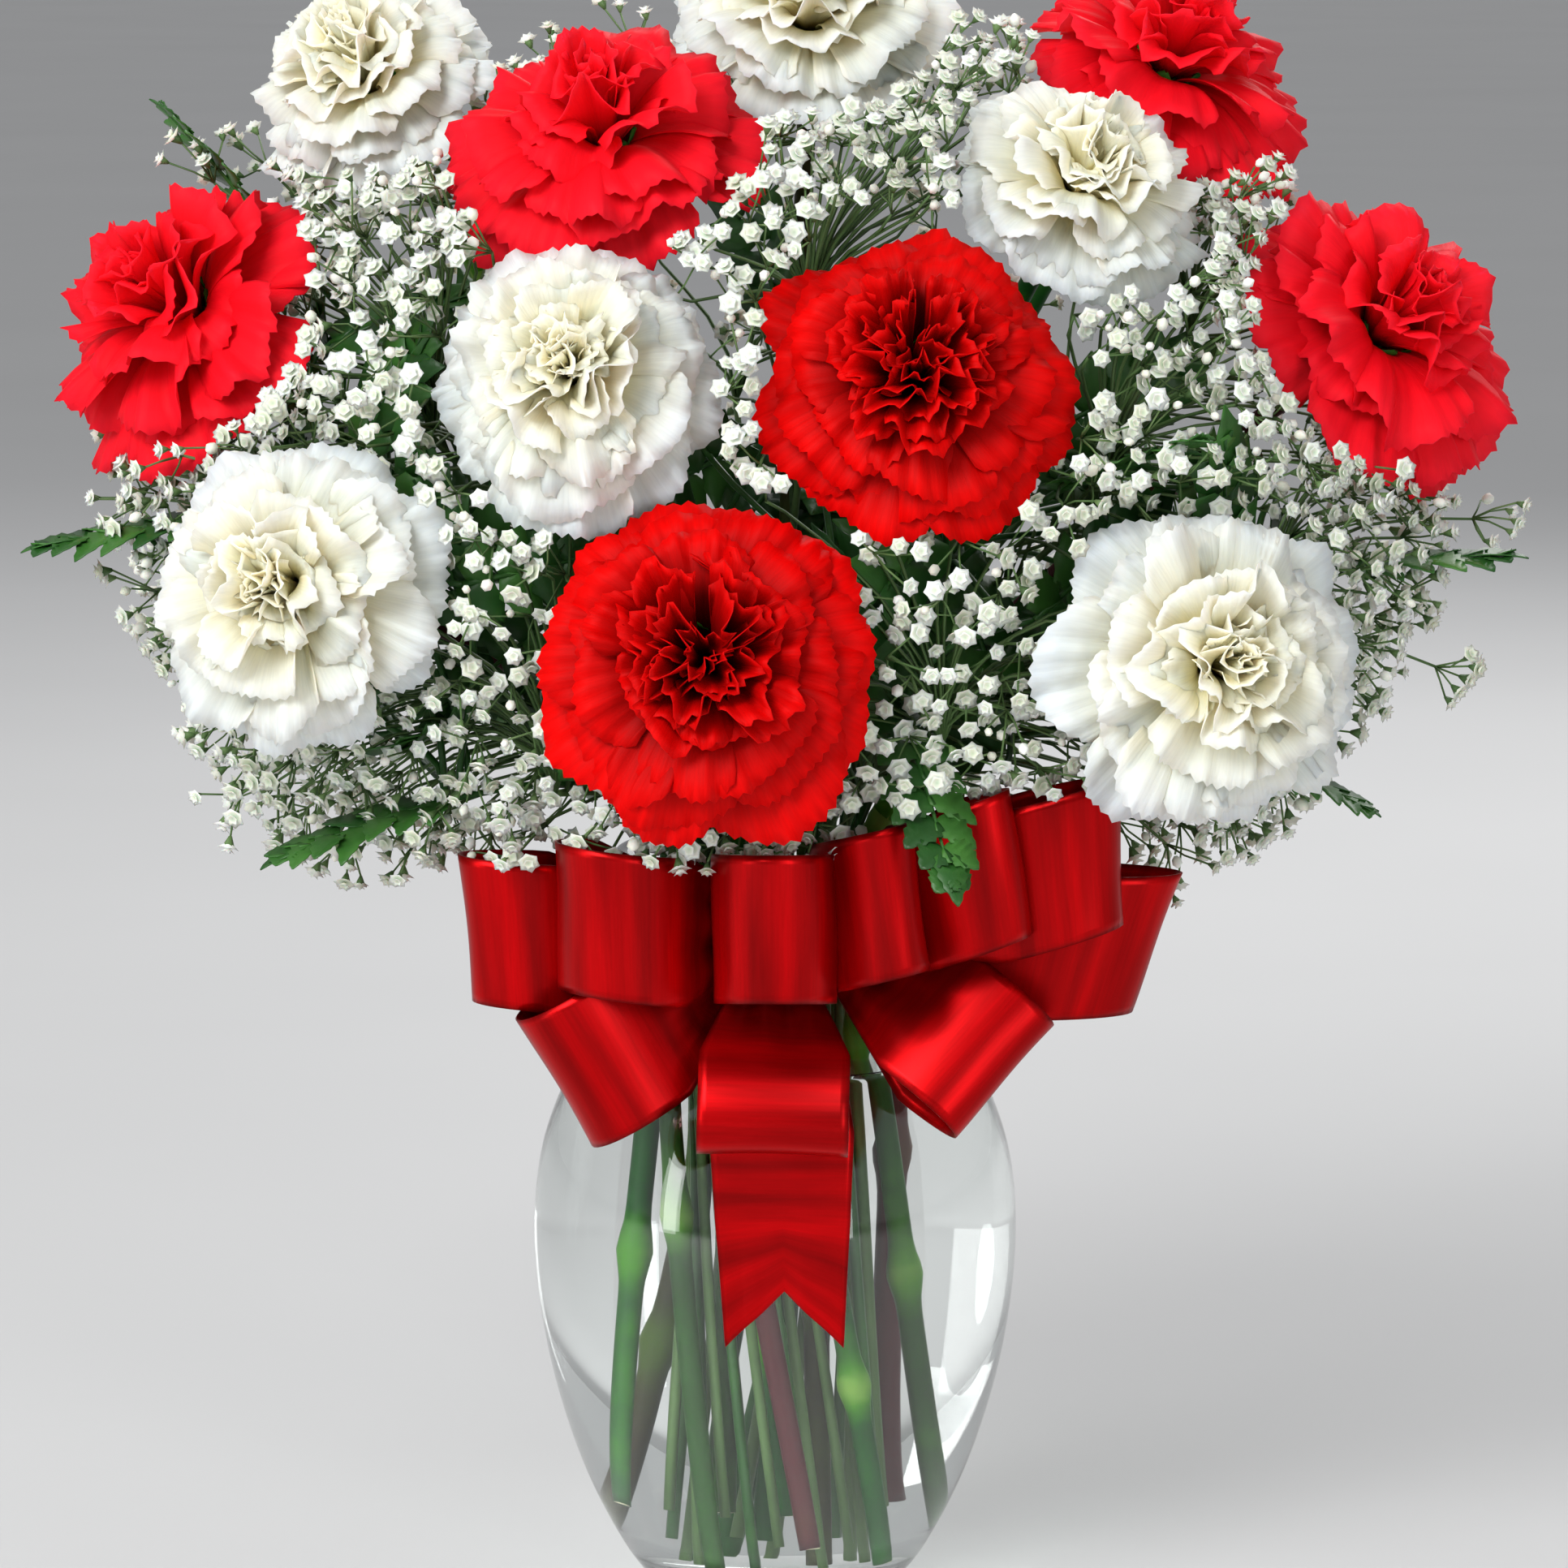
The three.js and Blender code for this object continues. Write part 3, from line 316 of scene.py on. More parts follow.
def normals_of(grid):
    normal = np.cross(np.gradient(grid, axis=0), np.gradient(grid, axis=1))
    return normal / (np.linalg.norm(normal, axis=2, keepdims=True) + 1e-9)


def thin(grid, thickness):
    """A closed thin solid on both sides of a grid of points."""
    rows, columns = grid.shape[:2]
    shift = normals_of(grid) * thickness / 2
    points = np.concatenate([(grid + shift).reshape(-1, 3), (grid - shift).reshape(-1, 3)])
    index = np.arange(rows * columns).reshape(rows, columns)
    top = np.stack([index[:-1, :-1], index[1:, :-1], index[1:, 1:], index[:-1, 1:]], axis=-1).reshape(-1, 4)
    count = rows * columns
    edge = np.concatenate([index[:, 0], index[-1, 1:], index[-2::-1, -1], index[0, -2:0:-1]])
    ahead = np.roll(edge, -1)
    walls = np.stack([ahead, edge, edge + count, ahead + count], axis=-1)
    return points, [top, top[:, ::-1] + count, walls]


def twice(values, grid):
    flat = np.broadcast_to(values, grid.shape[:2]).ravel()
    return np.concatenate([flat, flat])


def rings_joined(count, sides):
    """Numbers of the points of rings that follow each other, and the faces between the rings."""
    index = np.arange(count * sides).reshape(count, sides)
    ahead = np.roll(index, -1, axis=1)
    return index, np.stack([index[:-1], ahead[:-1], ahead[1:], index[1:]], axis=-1).reshape(-1, 4)


def tube(line, radii, sides):
    """A closed tube along a line."""
    line = np.asarray(line, float)
    count = len(line)
    forward = units(np.gradient(line, axis=0))
    side = unit(np.cross(forward[0], (0.31, 0.9, 0.27)))
    turn = 2 * np.pi * np.arange(sides) / sides
    rings = []
    for i in range(count):
        side = unit(side - forward[i] * side.dot(forward[i]))
        other = np.cross(forward[i], side)
        rings.append(line[i] + radii[i] * (np.outer(np.cos(turn), side) + np.outer(np.sin(turn), other)))
    index, walls = rings_joined(count, sides)
    return np.concatenate(rings), [walls, index[:1, ::-1], index[-1:]]


def lathe(outline, steps):
    """A closed body turned about the axis, from an outline that starts and ends on the axis."""
    outline = np.asarray(outline, float)
    inner = outline[1:-1]
    turn = 2 * np.pi * np.arange(steps) / steps
    rings = [inner[:, :1] * np.cos(turn), inner[:, :1] * np.sin(turn), np.repeat(inner[:, 1:], steps, axis=1)]
    rings = np.stack(rings, axis=-1).reshape(-1, 3)
    ends = [(0, 0, outline[0, 1]), (0, 0, outline[-1, 1])]
    index, walls = rings_joined(len(inner), steps)
    low = np.stack([np.full(steps, len(rings)), np.roll(index[0], -1), index[0]], axis=-1)
    high = np.stack([np.full(steps, len(rings) + 1), index[-1], np.roll(index[-1], -1)], axis=-1)
    return np.concatenate([rings, ends]), [walls, low, high]


# Materials

def link(tree, kind, inputs=None, **settings):
    """A node with its settings, and its inputs given as numbers, colours or other nodes' outputs."""
    node = tree.nodes.new(kind)
    for key, value in settings.items():
        setattr(node, key, value)
    for key, value in (inputs or {}).items():
        if isinstance(value, bpy.types.NodeSocket):
            tree.links.new(value, node.inputs[key])
        else:
            node.inputs[key].default_value = value
    return node


def shader(name, **fixed):
    material = bpy.data.materials.new(name)
    material.use_nodes = True
    tree = material.node_tree
    surface = tree.nodes["Principled BSDF"]
    for key, value in fixed.items():
        surface.inputs[key.replace("_", " ")].default_value = value
    return material, tree, surface


def mark(tree, label):
    return link(tree, "ShaderNodeAttribute", attribute_name=label).outputs["Fac"]


def ramp(tree, factor, stops):
    node = link(tree, "ShaderNodeValToRGB", {"Fac": factor})
    elements = node.color_ramp.elements
    while len(elements) < len(stops):
        elements.new(0.5)
    for element, (place, colour) in zip(elements, stops):
        element.position = place
        element.color = (*colour, 1)
    return node.outputs["Color"]


def maths(tree, operation, a, b):
    return link(tree, "ShaderNodeMath", {0: a, 1: b}, operation=operation).outputs[0]


def mixed(tree, factor, a, b, blend="MIX"):
    a, b = (value if isinstance(value, bpy.types.NodeSocket) else (*value, 1) for value in (a, b))
    inputs = {0: factor, 6: a, 7: b}
    return link(tree, "ShaderNodeMix", inputs, data_type="RGBA", blend_type=blend).outputs[2]


def tinted(tree, colour, tint):
    return mixed(tree, 1.0, colour, tint, "MULTIPLY")


def scaled(tree, label, factor):
    return maths(tree, "MULTIPLY", mark(tree, label), factor)


def vector(tree, x, y, z=0.0):
    return link(tree, "ShaderNodeCombineXYZ", {"X": x, "Y": y, "Z": z}).outputs[0]


def noise(tree, scale, place=None, detail=3.0):
    if place is None:
        place = link(tree, "ShaderNodeTexCoord").outputs["Object"]
    inputs = {"Scale": scale, "Detail": detail, "Vector": place}
    return link(tree, "ShaderNodeTexNoise", inputs).outputs["Fac"]


def bump(tree, surface, height, strength, distance):
    node = link(tree, "ShaderNodeBump", {"Height": height, "Strength": strength, "Distance": distance})
    tree.links.new(node.outputs[0], surface.inputs["Normal"])


def petal_material(name, stops, heart, heart_share, shade, gloss, **fixed):
    """Petals: coloured from the claw to the rim, tinted towards the heart, and finely veined."""
    material, tree, surface = shader(
        name, Roughness=0.6, Specular_IOR_Level=gloss, Subsurface_Radius=(1.0, 0.6, 0.4), **fixed
    )
    colour = ramp(tree, mark(tree, "along"), stops)
    colour = mixed(tree, scaled(tree, "heart", heart_share), colour, heart)
    veins = vector(tree, scaled(tree, "across", 14.0), scaled(tree, "along", 1.6), scaled(tree, "tone", 40.0))
    lines = noise(tree, 1.6, veins, 4.0)
    darker = ramp(tree, lines, [(0.3, (shade, shade, shade)), (0.62, (1, 1, 1))])
    tree.links.new(tinted(tree, colour, darker), surface.inputs["Base Color"])
    bump(tree, surface, lines, 0.3, 0.0004)
    return material


STEM_PURPLE = (0.075, 0.01, 0.02)


def green_material(name, stops, roughness, scale, gloss=0.4, depth=0.0002):
    """Stems and leaves: patches of green, along the mark tone, with a fine grain."""
    material, tree, surface = shader(name, Roughness=roughness, Specular_IOR_Level=gloss)
    patches = maths(tree, "MULTIPLY", noise(tree, scale), 0.55)
    value = maths(tree, "ADD", patches, scaled(tree, "tone", 0.5))
    colour = mixed(tree, mark(tree, "heart"), ramp(tree, value, stops), STEM_PURPLE)
    tree.links.new(colour, surface.inputs["Base Color"])
    bump(tree, surface, noise(tree, scale * 9), 0.4, depth)
    return material


# Partly painted shade: the cream-yellow towards the claws and the heart is partly the petals' own colour and
# partly painted warm shade, so the hollows between the petals look cream rather than grey.
WHITE_PETALS = petal_material(
    "petals_white",
    [
        (0.0, (0.97, 0.81, 0.36)), (0.35, (0.96, 0.86, 0.5)),
        (0.65, (0.94, 0.9, 0.71)), (0.95, (0.93, 0.93, 0.89)),
    ],
    heart=(0.98, 0.87, 0.48), heart_share=0.6, shade=0.92, gloss=0.25,
    Subsurface_Weight=0.5, Subsurface_Scale=0.004,
)
SCARLET_PETALS = petal_material(
    "petals_scarlet",
    [
        (0.0, (0.5, 0.004, 0.008)), (0.35, (0.8, 0.003, 0.01)),
        (0.75, (0.93, 0.006, 0.016)), (1.0, (0.95, 0.008, 0.022)),
    ],
    heart=(0.8, 0.002, 0.008), heart_share=0.25, shade=0.94, gloss=0.08,
    Subsurface_Weight=0.2, Subsurface_Scale=0.004,
)
# Painted shade: these petals go near black towards the claws and darker towards the heart, standing in for
# the shade in the cleft and between the petals; the red at the rims is the petals' own colour.
DEEP_RED_PETALS_PAINTED_SHADE = petal_material(
    "petals_red",
    [(0.0, (0.02, 0.0, 0.0)), (0.4, (0.14, 0.0, 0.0)), (0.8, (0.6, 0.0, 0.0)), (1.0, (0.85, 0.0, 0.0))],
    heart=(0.3, 0.0, 0.0), heart_share=0.5, shade=0.86, gloss=0.08,
)
STEM_GREEN = green_material(
    "stem_green",
    [
        (0.15, (0.003, 0.026, 0.008)), (0.45, (0.01, 0.08, 0.012)),
        (0.7, (0.06, 0.24, 0.015)), (1.0, (0.4, 0.6, 0.14)),
    ],
    0.42, 60.0, gloss=0.1, depth=0.00006,
)
STEM_CUT = green_material("stem_cut", [(0.2, (0.5, 0.47, 0.3)), (0.8, (0.72, 0.7, 0.5))], 0.8, 300.0)
FERN_GREEN = green_material(
    "fern_green",
    [(0.1, (0.006, 0.035, 0.006)), (0.5, (0.018, 0.09, 0.014)), (0.95, (0.07, 0.23, 0.035))],
    0.42, 90.0,
)
TWIG_GREEN = green_material(
    "twig_green", [(0.1, (0.03, 0.08, 0.02)), (0.6, (0.09, 0.17, 0.05)), (1.0, (0.2, 0.3, 0.12))], 0.6, 80.0
)


def floret_material():
    """Florets: green in the throat, white at the rim, and each a little different."""
    material, tree, surface = shader(
        "floret_white", Roughness=0.7, Subsurface_Weight=0.15, Subsurface_Scale=0.001, Specular_IOR_Level=0.25
    )
    stops = [
        (0.0, (0.3, 0.36, 0.16)), (0.3, (0.55, 0.66, 0.5)),
        (0.6, (0.86, 0.88, 0.8)), (0.9, (0.94, 0.94, 0.9)),
    ]
    colour = ramp(tree, mark(tree, "along"), stops)
    each = ramp(tree, mark(tree, "tone"), [(0.0, (0.84, 0.85, 0.76)), (1.0, (1, 1, 1))])
    tree.links.new(tinted(tree, colour, each), surface.inputs["Base Color"])
    bump(tree, surface, noise(tree, 900.0), 0.3, 0.0002)
    return material


FLORET_WHITE = floret_material()


def satin_material():
    """Satin ribbon: fine threads, painted highlight and shade bands across its width, and a soft red gloss.
    """
    material, tree, surface = shader(
        "ribbon_satin", Roughness=0.32, Metallic=0.7, Specular_IOR_Level=0.2, Anisotropic=0.5
    )
    threads = vector(tree, scaled(tree, "across", 1.2), scaled(tree, "along", 1400.0), mark(tree, "tone"))
    weave = noise(tree, 1.0, threads, 2.0)
    colour = ramp(tree, weave, [(0.3, (0.5, 0.0, 0.001)), (0.7, (0.6, 0.0, 0.002))])
    # Painted highlight and shade: a slow noise along the ribbon lightens and darkens bands across its width,
    # standing in for the sheen of the lamps on the curved loops.
    sheen_band_noise = noise(tree, 1.0, vector(tree, scaled(tree, "across", 0.25), scaled(tree, "along", 150.0)), 1.0)
    painted_sheen_bands = ramp(tree, sheen_band_noise, [(0.3, (0.5, 0.5, 0.5)), (0.5, (0.78, 0.78, 0.78)), (0.66, (1, 1, 1))])
    edge = maths(tree, "ABSOLUTE", mark(tree, "across"), 0.0)
    rim = ramp(tree, edge, [(0.94, (1, 1, 1)), (0.99, (0.7, 0.7, 0.7))])
    tree.links.new(tinted(tree, tinted(tree, colour, painted_sheen_bands), rim), surface.inputs["Base Color"])
    bump(tree, surface, weave, 0.06, 0.0001)
    return material


SATIN = satin_material()


def clear_material(name, ior, *tint):
    """Clear glass or water, which lets lamplight through to what stands in it."""
    material, tree, surface = shader(name, Roughness=0.0, IOR=ior, Transmission_Weight=1.0)
    surface.inputs["Base Color"].default_value = (*tint, 1)
    bump(tree, surface, noise(tree, 14.0, detail=1.0), 0.12, 0.0006)
    through = link(tree, "ShaderNodeBsdfTransparent", {"Color": (*tint, 1)})
    shadow = link(tree, "ShaderNodeLightPath").outputs["Is Shadow Ray"]
    both = link(tree, "ShaderNodeMixShader", {0: shadow, 1: surface.outputs[0], 2: through.outputs[0]})
    tree.links.new(both.outputs[0], tree.nodes["Material Output"].inputs["Surface"])
    return material


CLEAR_GLASS = clear_material("clear_glass", 1.5, 0.97, 0.985, 0.98)
CLEAR_WATER = clear_material("clear_water", 1.333, 0.985, 0.995, 0.99)


# Vase and water

OUTLINE = smooth_line([(r, 0, z) for r, z in VASE_OUTLINE], 6)[:, (0, 2)]


def vase_radius(z):
    return np.interp(z, OUTLINE[:, 1], OUTLINE[:, 0])


def vase():
    foot = [(0, 1.2), (20, 1.2), (23.5, 0.5), (25, 0.05), (26, 0.0), (27, 0.5)]
    crest = [
        (vase_radius(VASE_HEIGHT) - GLASS / 2 * (1 - math.cos(t)), VASE_HEIGHT + 0.9 * math.sin(t))
        for t in np.linspace(0.3, math.pi - 0.3, 7)
    ]
    inside = [(vase_radius(z) - GLASS, z) for z in np.linspace(VASE_HEIGHT - 0.3, 16, 46)]
    pile = Pile()
    pile.add(lathe([*foot, *OUTLINE, *crest, *inside, *GLASS_FLOOR, (0, GLASS_BASE)], 80))
    placed(pile.piece("vase_glass", [CLEAR_GLASS]), "glass", "vase")


def water():
    """The water wets the glass, so it reaches a little way into it, and climbs it at the top."""
    wet = 0.3
    floor = [(0, GLASS_BASE - wet), *((r + wet * (r > 20), z - wet) for r, z in reversed(GLASS_FLOOR))]
    side = [(vase_radius(z) - GLASS + wet, z) for z in np.linspace(16, WATER_LEVEL + 1.2, 60)]
    edge = vase_radius(WATER_LEVEL) - GLASS
    climb = [(edge - 0.5, WATER_LEVEL + 0.6), (edge - 1.6, WATER_LEVEL + 0.15)]
    top = [*climb, (edge - 4, WATER_LEVEL), (0, WATER_LEVEL)]
    pile = Pile()
    pile.add(lathe([*floor, *side, *top], 96))
    placed(pile.piece("vase_water", [CLEAR_WATER]), "water", "water")


# Carnations

BLOOM_WAYS = np.array([unit(bloom[2]) for bloom in BLOOMS])
BLOOM_RADII = np.array([bloom[3] for bloom in BLOOMS], float)
BLOOM_FACES = np.array([bloom[1] for bloom in BLOOMS])
BLOOM_MOUTHS = BLOOM_FACES - FACE_HEIGHT * BLOOM_RADII[:, None] * BLOOM_WAYS


def axes_of(faces):
    """Sideways, upwards and outwards directions of what faces that way."""
    side = unit(np.cross(UP, faces))
    return np.stack([side, np.cross(faces, side), faces])


def petal_grid(rng, radius, layer, turn, axes, heart, droop):
    """A fan on its claw, folded and finely pleated: a grid of points from the claw to the rim."""
    _, bend, rim, half_width, fold, vary, columns = layer
    u = np.linspace(-1, 1, columns + 1)[None, :]
    w = np.linspace(0, 1, PETAL_ROWS + 1)[:, None] ** 0.85
    way = np.where(np.arange(columns + 1) % 2, 1, -1)
    teeth = TOOTH / rim[0] ** 0.5 * way * rng.uniform(0.3, 1.4, columns + 1)
    lobes = 0.045 * np.sin(rng.uniform(2.5, 5) * u + rng.uniform(0, 6))
    v = w * (1 - 0.2 * np.abs(u) ** 2.6 + lobes + teeth * w**10)
    cos, sin = math.cos(turn), math.sin(turn)
    down = max(0, -(cos * axes[0][2] + sin * axes[1][2]))
    rim_r = rim[0] * (1 + rng.uniform(-1.3, 0.7) * vary + droop * rim[0] * down)
    rim_z = rim[1] + rng.uniform(-0.8, 1.0) * vary
    r = (1 - v) ** 2 * PETAL_ROOT * rim[0] + 2 * v * (1 - v) * bend[0] + v * v * rim_r
    z = 2 * v * (1 - v) * bend[1] + v * v * rim_z
    width = half_width * rng.uniform(0.84, 1.14) * (0.1 + 0.9 * v**0.85)
    wrap = np.maximum(1.35 * r, 0.16)
    angle = u * width / wrap
    grid = np.stack([r - wrap * (1 - np.cos(angle)), wrap * np.sin(angle), z], axis=-1)
    phases = rng.uniform(0, 2 * np.pi, 4)
    lift = fold * v**1.4 * np.sin(rng.uniform(3.0, 4.8) * u + phases[0] + 0.8 * v)
    waves = 1 if heart != "closed" else 0.3 + 1.25 * half_width
    lift += 0.75 * fold * v**3 * np.sin(rng.uniform(7, 10.5) * waves * u + phases[1])
    pleat = PLEAT * min(1, half_width / 0.54) ** 1.3
    lift += pleat * v**2 * np.sin(rng.uniform(16, 22) * waves * u + phases[2])
    lift += rng.uniform(-0.14, 0.14) * u * v + 0.5 * fold * v**5 * np.sin(2.2 * u + phases[3])
    grid = (grid + normals_of(grid) * lift[..., None]) * radius
    turned = grid @ np.array(((cos, sin, 0), (-sin, cos, 0), (0, 0, 1)))
    if heart == "cleft parts":
        x, y = turned[..., 0].copy(), turned[..., 1] / radius
        side = 1 if cos > 0 else -1
        open_here = np.clip((y - 0.02) / 0.12, 0, 1) * np.clip((0.62 - y) / 0.12, 0, 1)
        apart = side * (np.maximum(side * x, 0) + CLEFT_HALF * radius)
        turned[..., 0] = x + (apart - x) * open_here
    world = turned @ axes
    world[..., 2] -= 0.07 * radius * rim[0] ** 3 * v**2
    return world, v, u


def petals(name, radius, index):
    rng = np.random.default_rng(100 + index)
    axes = axes_of(BLOOM_WAYS[index])
    red, split = name.startswith("red"), name in CLEFT_BLOOMS
    layers = CLEFT_LAYERS if split else SCARLET_LAYERS if red else WHITE_LAYERS
    pile = Pile()
    for depth, layer in enumerate(layers):
        start = rng.uniform(0, 2 * np.pi)
        for i in range(layer[0]):
            turn = start + 2 * np.pi * (i + rng.uniform(-0.22, 0.22)) / layer[0]
            droop = SCARLET_DROOP if red and not split else 0
            heart = ("cleft parts" if depth >= CLEFT_FROM else "cleft") if split else "closed"
            grid, v, u = petal_grid(rng, radius, layer, turn, axes, heart, droop)
            petal = thin(grid + BLOOM_MOUTHS[index], PETAL_THICKNESS)
            share = depth / (len(layers) - 1)
            pile.add(petal, 0, twice(v, grid), twice(u, grid), share, rng.uniform())
    material = DEEP_RED_PETALS_PAINTED_SHADE if split else SCARLET_PETALS if red else WHITE_PETALS
    slot = "petals_red" if red else "petals_white"
    placed(pile.piece("petals_" + name, [material]), slot, "carnation_" + name)


def stem(name, neck_angle, ring, index):
    """A carnation's stem with its swollen joints, and the calyx that holds the petals."""
    rng = np.random.default_rng(300 + index)
    faces, mouth = BLOOM_WAYS[index], BLOOM_MOUTHS[index]
    throat = mouth - CALYX_LENGTH * faces
    neck = polar(neck_angle, ring[0], NECK_HEIGHT)
    foot_height = GLASS_BASE + 4 + 7 * (index % 3)
    foot = polar(neck_angle + FOOT_TURN, ring[1] * (vase_radius(foot_height) - GLASS), foot_height)
    rise = unit(unit(neck - foot) * 0.2 + UP * 0.8)
    reach = np.linalg.norm(throat - neck)
    upper = bezier((neck, neck + rise * reach * 0.4, throat - faces * reach * 0.34, throat), 24)
    lower = foot + np.linspace(0, 1, 30)[:, None] * (neck - foot)
    line = np.concatenate([lower[:-1], upper])
    travelled = distances(line)
    dense = np.linspace(0, travelled[-1], STEM_POINTS)
    line = np.stack([np.interp(dense, travelled, line[:, k]) for k in range(3)], axis=1)
    lower_length = np.linalg.norm(neck - foot)
    joints = [(0.3 + 0.12 * (index % 4)) * lower_length]
    while joints[-1] + 62 < travelled[-1] - 20:
        joints.append(joints[-1] + rng.uniform(*JOINT_GAPS))
    swell = sum(np.exp(-(((dense - j) / JOINT_HALF) ** 2)) for j in joints)
    tint = sum(np.exp(-(((dense - j) / 7) ** 2)) for j in joints)
    radii = STEM_RADIUS + (JOINT_RADIUS - STEM_RADIUS) * swell
    pile = Pile()
    pile.add(
        tube(line, radii, STEM_SIDES),
        along=np.repeat(dense / travelled[-1], STEM_SIDES),
        heart=STEM_PURPLES[index % len(STEM_PURPLES)],
        tone=np.repeat(0.3 + 0.65 * np.clip(tint, 0, 1), STEM_SIDES),
    )
    pile.add(tube([foot - rise * 0.02, foot + rise * 0.4], [STEM_RADIUS * 0.93] * 2, 14), kind=1, tone=0.5)
    for j in joints:
        k = int(np.searchsorted(dense, j))
        if line[k, 2] > NECK_HEIGHT + 10:
            sheath(pile, line[k : k + 5], rng)
    calyx(pile, throat, mouth, rng)
    placed(pile.piece("stalk_" + name, [STEM_GREEN, STEM_CUT]), "stems", "stem_" + name)


def sheath(pile, line, rng):
    """The short leaf base that wraps a joint above the water."""
    radii = [JOINT_RADIUS * 0.98, STEM_RADIUS * 1.28, STEM_RADIUS * 1.06]
    pile.add(tube(line[:3], radii, 14), tone=rng.uniform(0.5, 0.7))


def small_leaf(place, way, out, rows, columns, cup):
    """A pointed blade against the calyx: rows of height, half the width and distance from the axis."""
    aside = np.cross(way, out)
    grid = []
    for height, width, off in rows:
        middle = place + way * height + out * off
        grid.append([middle + aside * width * s - out * cup * s * s for s in columns])
    return np.array(grid)


def calyx(pile, throat, mouth, rng):
    shares = np.linspace(0, 1, 12)
    swell = np.interp(shares, (0, 0.12, 0.45, 0.8, 1), (0.42, 0.68, 0.93, 1.0, 0.97))
    line = throat + shares[:, None] * (mouth - throat)
    pile.add(tube(line, CALYX_RADIUS * swell, 20), tone=0.45 + 0.1 * rng.uniform())
    axes = axes_of(unit(mouth - throat))
    for i in range(5):
        turn = 2 * np.pi * (i + 0.5 * rng.uniform()) / 5
        out = math.cos(turn) * axes[0] + math.sin(turn) * axes[1]
        rows = [(height, width, CALYX_RADIUS + lean) for height, width, lean in CALYX_TEETH]
        tooth = small_leaf(mouth, axes[2], out, rows, (-1, -0.5, 0, 0.5, 1), 0.9)
        pile.add(thin(tooth, 0.45), tone=0.55)
        rows = [(height, width, CALYX_RADIUS * lean + 0.35) for height, width, lean in CALYX_BRACTS]
        bract = small_leaf(throat + axes[2] * 1.5, axes[2], out, rows, (-1, 0, 1), 1.2)
        pile.add(thin(bract, 0.4), tone=0.35)


# Baby's breath

VIEW_WAY = unit(np.subtract(CAMERA_TARGET, CAMERA_PLACE))


def off_blooms(points):
    """How far points lie in front of each bloom's mouth and aside of its axis."""
    off = np.atleast_2d(points)[:, None] - BLOOM_MOUTHS
    height = np.einsum("nbk,bk->nb", off, BLOOM_WAYS)
    return height, np.linalg.norm(off - height[..., None] * BLOOM_WAYS, axis=2)


def among_petals(points, margin):
    """Which points lie within a bloom or its calyx, or nearer to it than the margin."""
    height, aside = off_blooms(points)
    share = np.clip(height / (0.9 * BLOOM_RADII), 0, 1)
    among = (height > -0.14 * BLOOM_RADII - margin) & (height < 0.95 * BLOOM_RADII + margin)
    among &= aside < BLOOM_RADII * (1.03 - 0.6 * share**2) + margin
    under = (height <= 0) & (height > -CALYX_LENGTH) & (aside < CALYX_RADIUS + margin)
    return (among | under).any(axis=1)


def hides_a_bloom(points):
    """Which points stand before the face of a bloom as seen from the front."""
    seen = BLOOM_MOUTHS + 0.25 * BLOOM_RADII[:, None] * BLOOM_WAYS - np.atleast_2d(points)[:, None]
    behind = seen @ VIEW_WAY
    off_line = np.linalg.norm(seen - behind[..., None] * VIEW_WAY, axis=2)
    return ((behind > 0) & (off_line < BLOOM_RADII)).any(axis=1)


def in_a_bloom(points, margin):
    return among_petals(points, margin) | hides_a_bloom(points)


def in_the_bow(points):
    """Which points are among the loops, which rise to the right."""
    x, y, z = np.atleast_2d(points).T
    return (z < np.where(x < 20, 187, 203)) & (y < -30) & (x > -84) & (x < 100)


def star(tips, reach, height, dip, body, valley):
    """A small closed star of pointed petals, with the height of its rim, middle and underside."""
    rim = 2 * tips
    turn = 2 * np.pi * np.arange(rim) / rim
    out = np.arange(rim) % 2
    far = reach * np.where(out, 1.0, valley)
    top = height * np.where(out, 1.0, 0.75)
    edge = np.stack([far * np.cos(turn), far * np.sin(turn), top], axis=1)
    above = np.stack([0.5 * reach * np.cos(turn), 0.5 * reach * np.sin(turn), np.full(rim, dip)], axis=1)
    points = np.concatenate([edge, above, [(0, 0, dip * 0.9), (0, 0, dip - body)]])
    index = np.arange(rim)
    ahead = np.roll(index, -1)
    faces = [
        np.stack([index + rim, index, ahead, ahead + rim], axis=1),
        np.stack([np.full(rim, 2 * rim), index + rim, ahead + rim], axis=1),
        np.stack([np.full(rim, 2 * rim + 1), ahead, index], axis=1),
    ]
    along = np.concatenate([np.ones(rim), np.full(rim, 0.55), [0.3, 0.3]])
    return (points, faces), along


OUTER_STAR = star(6, 1.0, 0.3, 0.1, 0.4, 0.78)
INNER_STAR = star(5, 0.62, 0.66, 0.42, 0.4, 0.7)
CUP = tube([(0, 0, -0.75), (0, 0, 0.05)], [0.14, 0.5], 5)
BUD = tube([(0, 0, -0.55), (0, 0, -0.25), (0, 0, 0.2), (0, 0, 0.55)], [0.15, 0.42, 0.45, 0.12], 6)


def thin_stem(node):
    """The line of a node's thin stem, from the middles of the three-cornered rings of its solid."""
    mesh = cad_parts[node].data
    flat = np.empty(len(mesh.vertices) * 3)
    mesh.vertices.foreach_get("co", flat)
    points = np.unique(np.round(flat.reshape(-1, 3) / MM, 2), axis=0)
    apart = np.linalg.norm(points[:, None] - points[None], axis=2)
    near = np.abs(apart - TWIG_RADIUS * math.sqrt(3)) < 0.06
    middles = []
    for i in range(len(points)):
        for j in np.flatnonzero(near[i, i + 1 :]) + i + 1:
            for k in np.flatnonzero(near[i, j + 1 :] & near[j, j + 1 :]) + j + 1:
                middles.append(points[[i, j, k]].mean(axis=0))
    middles = np.unique(np.round(middles, 1), axis=0)
    line = [middles[middles[:, 2].argmin()]]
    left = [m for m in middles if np.linalg.norm(m - line[0]) > 3]
    while left:
        gaps = [np.linalg.norm(m - line[-1]) for m in left]
        line.append(left.pop(int(np.argmin(gaps))))
        left = [m for m in left if np.linalg.norm(m - line[-1]) > 3]
    return line


